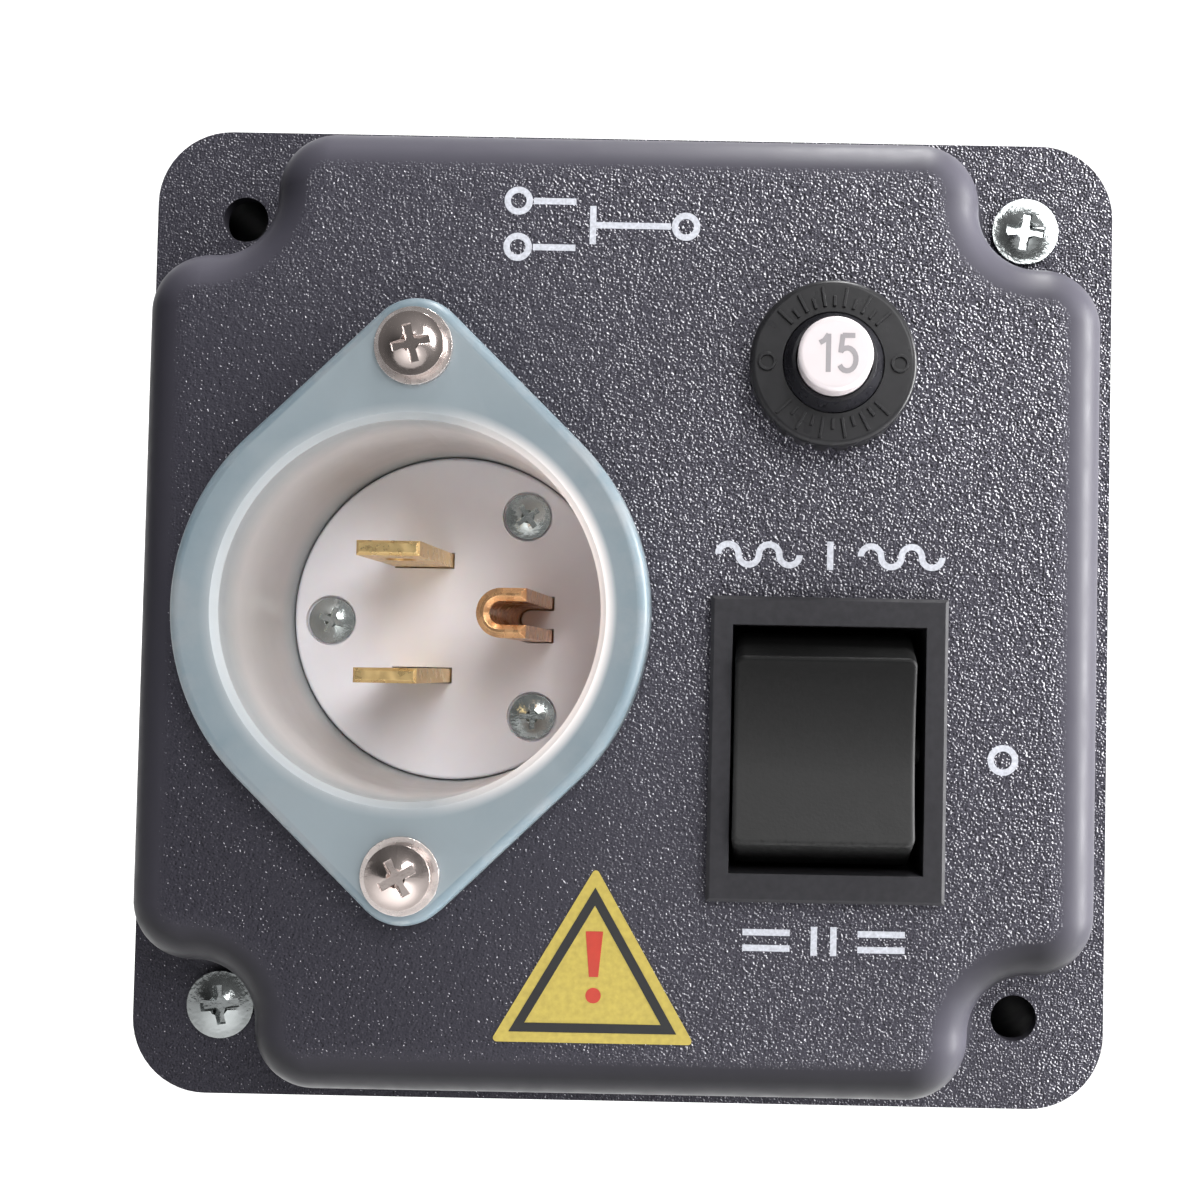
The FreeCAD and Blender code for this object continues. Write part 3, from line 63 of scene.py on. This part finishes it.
class Material:
    """A node material under construction."""

    def __init__(self, name, **sockets):
        self.item = bpy.data.materials.new(name)
        self.item.use_nodes = True
        self.tree = self.item.node_tree
        self.shader = self.tree.nodes["Principled BSDF"]
        self.coordinates = self.node("ShaderNodeTexCoord").outputs["Object"]
        for socket, value in sockets.items():
            self.shader.inputs[socket.replace("_", " ")].default_value = value

    def node(self, kind, **settings):
        node = self.tree.nodes.new(kind)
        for name, value in settings.items():
            setattr(node, name, value)
        return node

    def link(self, source, target):
        self.tree.links.new(source, target)

    def feed(self, node, values):
        for key, value in values.items():
            socket = node.inputs[key]
            if isinstance(value, bpy.types.NodeSocket):
                self.link(value, socket)
            else:
                socket.default_value = value
        return node

    def math(self, operation, *values, clamp=False):
        node = self.node("ShaderNodeMath", operation=operation, use_clamp=clamp)
        return self.feed(node, dict(enumerate(values))).outputs[0]

    def noise(self, scale, detail=3.0, roughness=0.5, vector=None):
        node = self.node("ShaderNodeTexNoise")
        return self.feed(node, {"Vector": vector or self.coordinates, "Scale": scale,
                                "Detail": detail, "Roughness": roughness}).outputs["Fac"]

    def ramp(self, factor, stops):
        node = self.node("ShaderNodeValToRGB")
        while len(node.color_ramp.elements) < len(stops):
            node.color_ramp.elements.new(0.5)
        for element, (position, color) in zip(node.color_ramp.elements, stops):
            element.position = position
            element.color = (*color, 1) if len(color) == 3 else color
        self.link(factor, node.inputs["Fac"])
        return node.outputs["Color"]

    def mix(self, factor, first, second):
        node = self.node("ShaderNodeMix", data_type="RGBA")
        colors = [value for value in node.inputs if value.type == "RGBA"]
        self.link(factor, node.inputs["Factor"])
        for socket, value in zip(colors, (first, second)):
            if isinstance(value, bpy.types.NodeSocket):
                self.link(value, socket)
            else:
                socket.default_value = (*value, 1)
        return next(value for value in node.outputs if value.type == "RGBA")

    def axes(self, vector=None):
        node = self.node("ShaderNodeSeparateXYZ")
        self.link(vector or self.coordinates, node.inputs[0])
        return node.outputs

    def mapped(self, **settings):
        node = self.node("ShaderNodeMapping")
        return self.feed(node, {"Vector": self.coordinates, **settings}).outputs[0]

    def bump(self, height, strength, depth, under=None):
        node = self.node("ShaderNodeBump")
        values = {"Height": height, "Strength": strength, "Distance": depth}
        if under is not None:
            values["Normal"] = under
        return self.feed(node, values).outputs["Normal"]

    def soft_edges(self, radius):
        node = self.node("ShaderNodeBevel", samples=4)
        node.inputs["Radius"].default_value = radius
        return node.outputs["Normal"]

    def set(self, socket, value):
        self.link(value, self.shader.inputs[socket])


# Materials --------------------------------------------------------------------------

def surface(name, color, spread=0.08, roughness=0.5, rough_spread=0.08, scale=900.0,
            bump=0.0, bump_scale=2500.0, depth=0.00003, edge=0.0, **sockets):
    """Plain material with mottled colour and roughness, fine bump and softened edges."""
    item = Material(name, **sockets)
    mottle = item.noise(scale, 4)
    dark = tuple(channel * (1 - spread) for channel in color)
    light = tuple(min(channel * (1 + spread), 1) for channel in color)
    item.set("Base Color", item.ramp(mottle, [(0.3, dark), (0.7, light)]))
    rough = item.ramp(item.noise(scale * 0.4, 3), [
        (0.3, (roughness - rough_spread,) * 3), (0.7, (roughness + rough_spread,) * 3)])
    item.set("Roughness", rough)
    normal = item.soft_edges(edge) if edge else None
    if bump:
        normal = item.bump(item.noise(bump_scale, 3), bump, depth, normal)
    if normal is not None:
        item.set("Normal", normal)
    return item.item


COAT_GRAIN = 4500.0  # pebbles to a metre
PAINTED_GLINT_SHIFT = (0.00010, 0.00004, 0.00006)  # from a pebble's painted shadow to its painted glint


def powder_coat(name, squareness, painted_light_bias, painted_shade_strength):
    """Charcoal powder coat: pebbled, with painted glints, on its flat faces, smooth on the bends.

    The pebbles are small raised grains, each with a painted highlight on its side towards the
    upper right and a painted shadow on the side away from it. Painted light makes them stand
    out more towards that corner of the cover. squareness(item, facing) says which faces are
    flat, painted_light_bias is how much painted light the pebbles get in the middle, and
    painted_shade_strength is how much painted shade darkens the coat towards the lower left
    and on bends that turn down.
    """
    item = Material(name, Specular_IOR_Level=0.10)
    facing = item.axes(item.node("ShaderNodeNewGeometry").outputs["Normal"])
    flat = item.ramp(squareness(item, facing), [(0.955, (0, 0, 0)), (0.9995, (1, 1, 1))])
    x, _, z = item.axes()
    # Painted light: the coat is painted brighter towards the upper right, with slow random patches.
    toward = item.math("ADD", item.math("MULTIPLY", x, 9.0), item.math("MULTIPLY", z, 4.5))
    drift = item.math("ADD", item.math("ADD", toward, painted_light_bias),
                      item.math("MULTIPLY", item.math("SUBTRACT", item.noise(28.0, 2), 0.5), 0.8),
                      clamp=True)
    grain = item.noise(COAT_GRAIN, 1.0)
    beyond = item.noise(COAT_GRAIN, 1.0, vector=item.mapped(Location=PAINTED_GLINT_SHIFT))
    relief = item.math("ADD", item.math("SUBTRACT", grain, beyond), 0.5)
    # Lit and shaded copies of the coat, each with painted glints on the pebbles' bright sides and
    # painted shadows on their dark sides.
    half_lit_painted_tone = item.ramp(relief, [(0.18, (0.010, 0.0095, 0.013)), (0.30, (0.031, 0.0298, 0.0385)),
                               (0.72, (0.039, 0.0375, 0.048)), (0.78, (0.12, 0.116, 0.138)),
                               (0.83, (0.70, 0.69, 0.74))])
    shaded_painted_tone = item.ramp(relief, [(0.22, (0.006, 0.0057, 0.008)), (0.40, (0.017, 0.0162, 0.022)),
                                (0.62, (0.022, 0.021, 0.028)), (0.78, (0.034, 0.0325, 0.042)),
                                (0.87, (0.40, 0.39, 0.43))])
    # Painted shade: the coat is painted darker towards the lower left.
    dim = item.ramp(item.math("MULTIPLY_ADD", toward, painted_shade_strength, 0.75),
                    [(0.15, (0, 0, 0)), (0.70, (1, 1, 1))])
    lit_painted_tone = item.ramp(relief, [(0.36, (0.0005, 0.0005, 0.001)), (0.42, (0.046, 0.044, 0.057)),
                                (0.61, (0.060, 0.0575, 0.073)), (0.655, (0.20, 0.195, 0.23)),
                                (0.70, (0.90, 0.89, 0.94))])
    pebbled = item.mix(dim, shaded_painted_tone, item.mix(drift, half_lit_painted_tone, lit_painted_tone))
    # Painted shade on bends that turn down or left, painted light on bends that turn up or right.
    facing_painted_light = item.math("ADD", item.math("MULTIPLY", facing[0], 0.25 * painted_shade_strength),
                       item.math("MULTIPLY", facing[2], 0.5 * painted_shade_strength))
    bend = item.ramp(item.math("ADD", facing_painted_light, 0.5),
                     [(0.23, (0.009, 0.0086, 0.0112)), (0.50, (0.035, 0.0335, 0.043)),
                      (0.78, (0.058, 0.0555, 0.069))])
    item.set("Base Color", item.mix(flat, bend, pebbled))
    item.set("Roughness", item.ramp(item.noise(500.0, 3), [(0.3, (0.36,) * 3), (0.7, (0.46,) * 3)]))
    wave = item.bump(item.math("MULTIPLY", item.noise(1100.0, 1.5), flat), 0.5, 0.0003)
    peel = item.math("MULTIPLY", grain, item.math("ADD", flat, 0.04))
    item.set("Normal", item.bump(peel, 1.0, 0.00009, wave))
    return item.item


def front_only(item, facing):
    """How squarely a surface faces out of the wall."""
    return item.math("MULTIPLY", facing[1], -1.0)


def any_side(item, facing):
    """How squarely a surface faces along any of the three axes."""
    across, out, up = (item.math("ABSOLUTE", part) for part in facing)
    return item.math("MAXIMUM", item.math("MAXIMUM", across, out), up)


def nylon():
    """Translucent nylon: cool at the thin front rim, warm and milky down inside the cup."""
    item = Material("nylon", IOR=1.53, Specular_IOR_Level=0.2, Subsurface_Weight=0.35,
                    Subsurface_Scale=0.004, Coat_Weight=0.03, Coat_Roughness=0.3)
    item.shader.inputs["Subsurface Radius"].default_value = (1.0, 0.9, 0.85)
    x, y, z = item.axes()
    across = item.math("SUBTRACT", x, INLET.x)
    along = item.math("SUBTRACT", z, INLET.z)
    reach = item.math("SQRT", item.math("ADD", item.math("MULTIPLY", across, across),
                                        item.math("MULTIPLY", along, along)))
    outside = item.ramp(item.math("MULTIPLY", reach, 40.0),
                        [(0.735, (0, 0, 0)), (0.80, (1, 1, 1))])
    deep = item.math("MULTIPLY", y, -10.0)
    milky = item.ramp(deep, [(0.49, (0.33, 0.35, 0.36)), (0.512, (0.40, 0.40, 0.40)),
                            (0.525, (0.44, 0.415, 0.41)), (0.66, (0.43, 0.41, 0.405)),
                            (0.70, (0.27, 0.285, 0.295))])
    # Painted light: the cup wall is painted lighter and warmer towards the right.
    painted_light_right = item.ramp(item.math("ADD", item.math("MULTIPLY", across, 20.0), 0.5),
                       [(0.55, (0, 0, 0)), (0.85, (1, 1, 1))])
    warm = item.mix(painted_light_right, milky, (0.92, 0.83, 0.80))
    cloud = item.math("ADD", item.math("MULTIPLY", item.noise(90.0, 3), 0.65),
                      item.math("MULTIPLY", item.noise(420.0, 4, 0.7), 0.35))
    cool = item.ramp(cloud, [(0.36, (0.100, 0.142, 0.168)), (0.50, (0.122, 0.160, 0.184)),
                             (0.62, (0.172, 0.192, 0.206))])
    # Painted highlight: convex edges of the rim are painted lighter.
    edge = item.ramp(item.node("ShaderNodeNewGeometry").outputs["Pointiness"],
                     [(0.50, (0, 0, 0)), (0.56, (1, 1, 1))])
    rim = item.mix(edge, cool, (0.18, 0.212, 0.23))
    item.set("Base Color", item.mix(outside, warm, rim))
    item.set("Roughness", item.ramp(item.noise(300.0, 3), [(0.3, (0.28,) * 3), (0.7, (0.4,) * 3)]))
    item.set("Normal", item.bump(item.noise(400.0, 2), 0.2, 0.0001))
    return item.item


def metal(name, color, roughness=0.25, scale=(1, 1, 1), grain=2500.0, strength=0.15, tint=None,
          edge=0.00006):
    """Metal with a fine grain along one direction and slow colour drift."""
    item = Material(name, Metallic=1.0)
    tint = tint or tuple(channel * 0.75 for channel in color)
    item.set("Base Color", item.mix(item.noise(260.0, 3), tint, color))
    item.set("Roughness", item.ramp(item.noise(900.0, 4), [
        (0.3, (roughness * 0.75,) * 3), (0.7, (roughness * 1.3,) * 3)]))
    lines = item.noise(grain, 2, 0.5, item.mapped(Scale=scale))
    item.set("Normal", item.bump(lines, strength, 0.00003, item.soft_edges(edge)))
    return item.item


def rocker_plastic():
    """Fine satin black, with painted shade darkening the top of the rocker and its bottom bevel."""
    item = Material("rocker_plastic", Specular_IOR_Level=0.12)
    low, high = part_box("rocker")
    z = item.axes()[2]
    height = item.math("DIVIDE", item.math("SUBTRACT", z, low.z), high.z - low.z)
    # Painted shade: darkest over the top and along the bottom bevel.
    shade = item.math("ADD", height, item.math("MULTIPLY", item.noise(2500.0, 4), 0.12))
    item.set("Base Color", item.ramp(shade, [(0.13, (0.004,) * 3), (0.18, (0.019,) * 3),
                                             (0.45, (0.022,) * 3), (0.66, (0.013,) * 3),
                                             (0.90, (0.003,) * 3)]))
    item.set("Roughness", item.ramp(item.noise(1000.0, 3), [(0.3, (0.45,) * 3), (0.7, (0.55,) * 3)]))
    item.set("Normal", item.bump(item.noise(3500.0, 3), 0.5, 0.00003, item.soft_edges(0.0001)))
    return item.item


COVER_COAT = powder_coat("cover_coat", front_only, painted_light_bias=0.30, painted_shade_strength=1.0)
BOX_COAT = powder_coat("box_coat", any_side, painted_light_bias=-0.50, painted_shade_strength=0.15)
NYLON = nylon()
DISC = surface("disc_plastic", (0.79, 0.765, 0.80), spread=0.02, roughness=0.42, rough_spread=0.05,
               scale=200.0, bump=0.1, bump_scale=900.0, edge=0.0001, Subsurface_Weight=0.1,
               Subsurface_Scale=0.002)
BRASS = metal("brass", (0.95, 0.72, 0.36), roughness=0.3, scale=(1, 0.05, 1), tint=(0.72, 0.48, 0.20))
COPPER_BRASS = metal("copper_brass", (0.82, 0.50, 0.26), roughness=0.26, scale=(1, 0.05, 1),
                     tint=(0.60, 0.32, 0.15))
ZINC = metal("zinc", (0.70, 0.74, 0.73), roughness=0.2, tint=(0.30, 0.33, 0.32), strength=1.0)
SCREW_STEEL = metal("screw_steel", (0.40, 0.42, 0.42), roughness=0.15, tint=(0.10, 0.11, 0.11),
                    strength=1.0)
NICKEL = metal("nickel", (0.60, 0.53, 0.50), roughness=0.13, tint=(0.42, 0.35, 0.33))
WASHER = metal("washer_nickel", (0.86, 0.78, 0.75), roughness=0.24, tint=(0.74, 0.66, 0.63))
STEEL = metal("spring_steel", (0.55, 0.55, 0.55), roughness=0.3)
BEZEL = surface("bezel_plastic", (0.0235, 0.023, 0.026), spread=0.12, roughness=0.5, rough_spread=0.06,
                scale=1500.0, bump=0.25, bump_scale=3500.0, edge=0.00015, Specular_IOR_Level=0.12)
ROCKER = rocker_plastic()
RING = surface("ring_nut_plastic", (0.010, 0.0098, 0.011), spread=0.15, roughness=0.34,
               rough_spread=0.08, scale=1200.0, bump=0.2, bump_scale=2500.0, edge=0.0001,
               Specular_IOR_Level=0.22)
NECK = surface("neck_plastic", (0.010, 0.0098, 0.012), spread=0.15, roughness=0.26, rough_spread=0.08,
               scale=1200.0, bump=0.15, bump_scale=2500.0, edge=0.0001, Specular_IOR_Level=0.22)
BUTTON = surface("button_plastic", (0.50, 0.455, 0.465), spread=0.02, roughness=0.35, rough_spread=0.05,
                 scale=600.0, bump=0.08, bump_scale=1500.0, edge=0.0001, Coat_Weight=0.2)
BUTTON_INK = surface("button_ink", (0.22, 0.205, 0.215), spread=0.06, roughness=0.5)
GREEN = metal("green_screw", (0.05, 0.24, 0.11), roughness=0.3)
BIMETAL = metal("bimetal", (0.62, 0.56, 0.45), roughness=0.35, scale=(1, 1, 0.05))
YELLOW = surface("sticker_yellow", (0.345, 0.27, 0.050), spread=0.14, roughness=0.35, rough_spread=0.05,
                 scale=1700.0, bump=0.06, bump_scale=700.0, Coat_Weight=0.2)
BLACK_INK = surface("ink_black", (0.014, 0.014, 0.015), spread=0.1, roughness=0.45,
                    Specular_IOR_Level=0.3)
RED_INK = surface("ink_red", (0.34, 0.028, 0.014), spread=0.08, roughness=0.4)
WHITE_INK = surface("ink_white", (0.40, 0.41, 0.455), spread=0.22, roughness=0.55, rough_spread=0.05,
                    scale=3200.0, bump=0.3, bump_scale=1500.0)
INSULATION = {
    name: surface("insulation_" + name, color, spread=0.06, roughness=0.38, rough_spread=0.06,
                  scale=300.0, bump=0.1, bump_scale=900.0)
    for name, color in {"black": (0.02, 0.02, 0.02), "white": (0.75, 0.74, 0.71),
                        "green": (0.03, 0.28, 0.09), "red": (0.50, 0.03, 0.02),
                        "orange": (0.75, 0.22, 0.02)}.items()}

FINISHES = {
    COVER_COAT: ["cover_plate"],
    BOX_COAT: ["box_body"],
    NYLON: ["inlet_flange"],
    DISC: ["inlet_disc", "inlet_rear_body", "switch_plungers"],
    BRASS: ["neutral_blade", "hot_blade", "hot_terminal_screw", "switch_common_terminals",
            "switch_throw_terminals", "breaker_terminals"],
    COPPER_BRASS: ["ground_pin", "contact_arms", "contact_bridge"],
    SCREW_STEEL: ["cover_screws"],
    ZINC: ["inlet_face_screws", "box_ears", "inlet_mount_nuts", "ring_terminals"],
    NICKEL: ["inlet_mount_screws", "neutral_terminal_screw"],
    WASHER: ["inlet_mount_washers"],
    STEEL: ["plunger_springs", "reset_spring"],
    BEZEL: ["switch_housing"],
    ROCKER: ["rocker"],
    RING: ["breaker_ring_nut"],
    NECK: ["breaker_body", "breaker_lid"],
    BUTTON: ["reset_button"],
    GREEN: ["ground_screw", "ground_terminal_screw"],
    BIMETAL: ["bimetal_strip"],
    YELLOW: ["hazard_sticker"],
    BLACK_INK: ["hazard_border"],
    RED_INK: ["hazard_mark"],
    WHITE_INK: ["printed_marks"],
    INSULATION["black"]: ["wire_inlet_to_breaker", "wire_breaker_to_switch", "wire_line_hot"],
    INSULATION["white"]: ["wire_inlet_neutral", "wire_line_neutral", "wire_load_neutral"],
    INSULATION["green"]: ["wire_ground"],
    INSULATION["red"]: ["wire_load_hot", "quick_connects"],
    INSULATION["orange"]: ["wire_nuts"],
}
for material, nodes in FINISHES.items():
    for node in nodes:
        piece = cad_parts[node]
        piece.data.materials.clear()
        piece.data.materials.append(material)


# Pieces -----------------------------------------------------------------------------

TICKS = 11
TICK_STEP = 9.5  # degrees
MARK_TRACK = 6.4 * MM  # radius of the hoops and of the middles of the long ticks
MARK_HEIGHT = 0.3 * MM
MARK_HALF = 0.14 * MM  # half the width of a mark
LONG_TICK = 1.9 * MM
SHORT_TICK = 1.0 * MM
HOOP_RADIUS = 0.75 * MM
NUMBER_HEIGHT = 3.6 * MM
NUMBER_HALF = 0.24 * MM  # half the width of a stroke
STROKE_RISE = 0.02 * MM
STROKE_STEP = 0.004 * MM  # keeps strokes that cross from sharing a face


def mesh_piece(name, build, material, body="base"):
    """New flat-shaded piece, shaped by build(shape) and riding on a body."""
    mesh = bpy.data.meshes.new(name)
    shape = bmesh.new()
    build(shape)
    shape.to_mesh(mesh)
    shape.free()
    piece = bpy.data.objects.new(name, mesh)
    bpy.context.scene.collection.objects.link(piece)
    mesh.materials.append(material)
    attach(piece, body)


def ribbon(shape, points, half, out, height):
    """Line of even width along (x, z) points, standing height out of a face and height into it."""
    left, right = [], []
    for index, point in enumerate(points):
        before = points[max(index - 1, 0)]
        after = points[min(index + 1, len(points) - 1)]
        along = (Vector(after) - Vector(before)).normalized()
        side = Vector((-along.y, along.x)) * half
        left.append(Vector(point) + side)
        right.append(Vector(point) - side)
    corners = left + right[::-1]
    bottom = [shape.verts.new((spot.x, -out + height, spot.y)) for spot in corners]
    top = [shape.verts.new((spot.x, -out - height, spot.y)) for spot in corners]
    count = len(points)
    for index in range(count - 1):
        mirror = 2 * count - 1 - index
        shape.faces.new((top[index], top[index + 1], top[mirror - 1], top[mirror]))
    for index in range(2 * count):
        after = (index + 1) % (2 * count)
        shape.faces.new((bottom[index], bottom[after], top[after], top[index]))
    bmesh.ops.recalc_face_normals(shape, faces=shape.faces)


def digits(shape, centre, out, height, half):
    """The number 15, drawn as even strokes about a centre."""
    unit = height / 2
    strokes = [[(-0.40, -1.0), (-0.40, 1.0)], [(-0.86, 0.52), (-0.62, 0.66), (-0.40, 0.98)],
               [(0.98, 0.93), (0.32, 0.93)], [(0.34, 0.98), (0.24, 0.02)]]
    bowl = [(0.58 + 0.46 * math.cos(turn), -0.32 + 0.60 * math.sin(turn))
            for turn in (math.radians(angle) for angle in range(140, -155, -18))]
    for index, stroke in enumerate(strokes + [bowl]):
        points = [(centre.x + x * unit, centre.z + z * unit) for x, z in stroke]
        ribbon(shape, points, half, out, STROKE_RISE + STROKE_STEP * index)


def loop_points(centre, radius, count=20):
    """Closed ring of (x, z) points."""
    return [(centre[0] + radius * math.cos(math.tau * step / count),
             centre[1] + radius * math.sin(math.tau * step / count)) for step in range(count + 1)]


def ring_marks(shape):
    """Raised marks round the ring nut: long and short radial ticks, and a hoop on each side."""
    hub = Vector((BREAKER.x, BREAKER.z))
    for middle in (90, 270):
        for index in range(TICKS):
            turn = math.radians(middle + TICK_STEP * (index - (TICKS - 1) / 2))
            along = Vector((math.cos(turn), math.sin(turn)))
            length = LONG_TICK if index % 2 == 0 else SHORT_TICK
            foot = hub + along * (MARK_TRACK - LONG_TICK / 2)
            ribbon(shape, [foot, foot + along * length], MARK_HALF, RING_OUT, MARK_HEIGHT)
    for side in (-1, 1):
        spot = (BREAKER.x + side * MARK_TRACK, BREAKER.z)
        ribbon(shape, loop_points(spot, HOOP_RADIUS), MARK_HALF, RING_OUT, MARK_HEIGHT)


RING_OUT = -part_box("breaker_ring_nut")[0].y
mesh_piece("ring_nut_marks", ring_marks, RING)
BUTTON_OUT = -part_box("reset_button")[0].y
mesh_piece("button_number", lambda shape: digits(shape, BREAKER, BUTTON_OUT, NUMBER_HEIGHT, NUMBER_HALF),
           BUTTON_INK, "reset_button")


# Studio -----------------------------------------------------------------------------

def plane(name, corners, material):
    mesh = bpy.data.meshes.new(name)
    mesh.from_pydata(corners, [], [tuple(range(len(corners)))])
    item = bpy.data.objects.new(name, mesh)
    mesh.materials.append(material)
    bpy.context.scene.collection.objects.link(item)


def studio_white(name, glow):
    item = Material(name, Roughness=0.9, Emission_Strength=glow)
    item.shader.inputs["Emission Color"].default_value = (1, 1, 1, 1)
    item.set("Base Color", item.ramp(item.noise(2.0), [(0.3, (0.86,) * 3), (0.7, (0.88,) * 3)]))
    return item.item


FLOOR_Z = CAD_BOX[0].z - 0.3
HALF_FLOOR = 3
BACKDROP_Y = 1.5
BACKDROP_TOP = 4
plane("floor", [(x * HALF_FLOOR, y * HALF_FLOOR, FLOOR_Z)
                for x, y in ((-1, -1), (1, -1), (1, 1), (-1, 1))],
      studio_white("floor_white", 0.32))
plane("backdrop", [(x * HALF_FLOOR, BACKDROP_Y, z)
                   for x, z in ((-1, FLOOR_Z), (1, FLOOR_Z), (1, BACKDROP_TOP), (-1, BACKDROP_TOP))],
      studio_white("backdrop_white", 0.4))


def area_light(name, spot, aim, size, power):
    light = bpy.data.lights.new(name, "AREA")
    light.shape = "RECTANGLE"
    light.size, light.size_y = size
    light.energy = power
    item = bpy.data.objects.new(name, light)
    item.location = spot
    item.rotation_euler = (Vector(aim) - Vector(spot)).to_track_quat("-Z", "Y").to_euler()
    bpy.context.scene.collection.objects.link(item)


CENTRE = (0, -0.06, 0)
area_light("front", (0.30, -0.80, 0.36), CENTRE, size=(0.45, 0.4), power=6.0)
area_light("key", (0.62, -0.30, 0.25), CENTRE, size=(0.2, 0.4), power=1.6)
area_light("side", (0.70, -0.045, 0.05), CENTRE, size=(0.12, 0.6), power=17.0)
area_light("top", (0.12, -0.06, 0.70), CENTRE, size=(0.6, 0.12), power=9.0)

# The surroundings are brightest to the upper right, and dim below and to the left.
BRIGHT_SIDE = (0.75, 0.10, 0.65)
world = bpy.data.worlds.new("studio")
world.use_nodes = True
sky = world.node_tree.nodes
sky_vector = sky.new("ShaderNodeTexCoord")
sky_slope = sky.new("ShaderNodeVectorMath")
sky_slope.operation = "DOT_PRODUCT"
sky_slope.inputs[1].default_value = BRIGHT_SIDE
sky_range = sky.new("ShaderNodeMapRange")
for socket, value in zip(("From Min", "From Max", "To Min", "To Max"), (-0.5, 1.0, 0.08, 0.75)):
    sky_range.inputs[socket].default_value = value
world.node_tree.links.new(sky_vector.outputs["Generated"], sky_slope.inputs[0])
world.node_tree.links.new(sky_slope.outputs["Value"], sky_range.inputs["Value"])
world.node_tree.links.new(sky_range.outputs[0], sky["Background"].inputs["Strength"])
sky["Background"].inputs["Color"].default_value = (1, 1, 1, 1)
bpy.context.scene.world = world
bpy.context.scene.view_settings.view_transform = "Standard"


# The camera stands close in front of the cover, a little below and right of its middle.
CAMERA_SPOT = (0.013577, -FACE_OUT - 0.153583, -0.005657)
CAMERA_ANGLES = (91.868, -1.092, 0.124)  # degrees
camera_data = bpy.data.cameras.new("camera")
camera_data.sensor_width = 36.0
camera_data.lens = 47.04
camera_data.shift_x = -0.125
camera_data.shift_y = 0.0167
camera_data.clip_start = 0.01
camera_data.clip_end = 20
camera = bpy.data.objects.new("camera", camera_data)
camera.location = CAMERA_SPOT
camera.rotation_euler = [math.radians(angle) for angle in CAMERA_ANGLES]
bpy.context.scene.collection.objects.link(camera)
bpy.context.scene.camera = camera
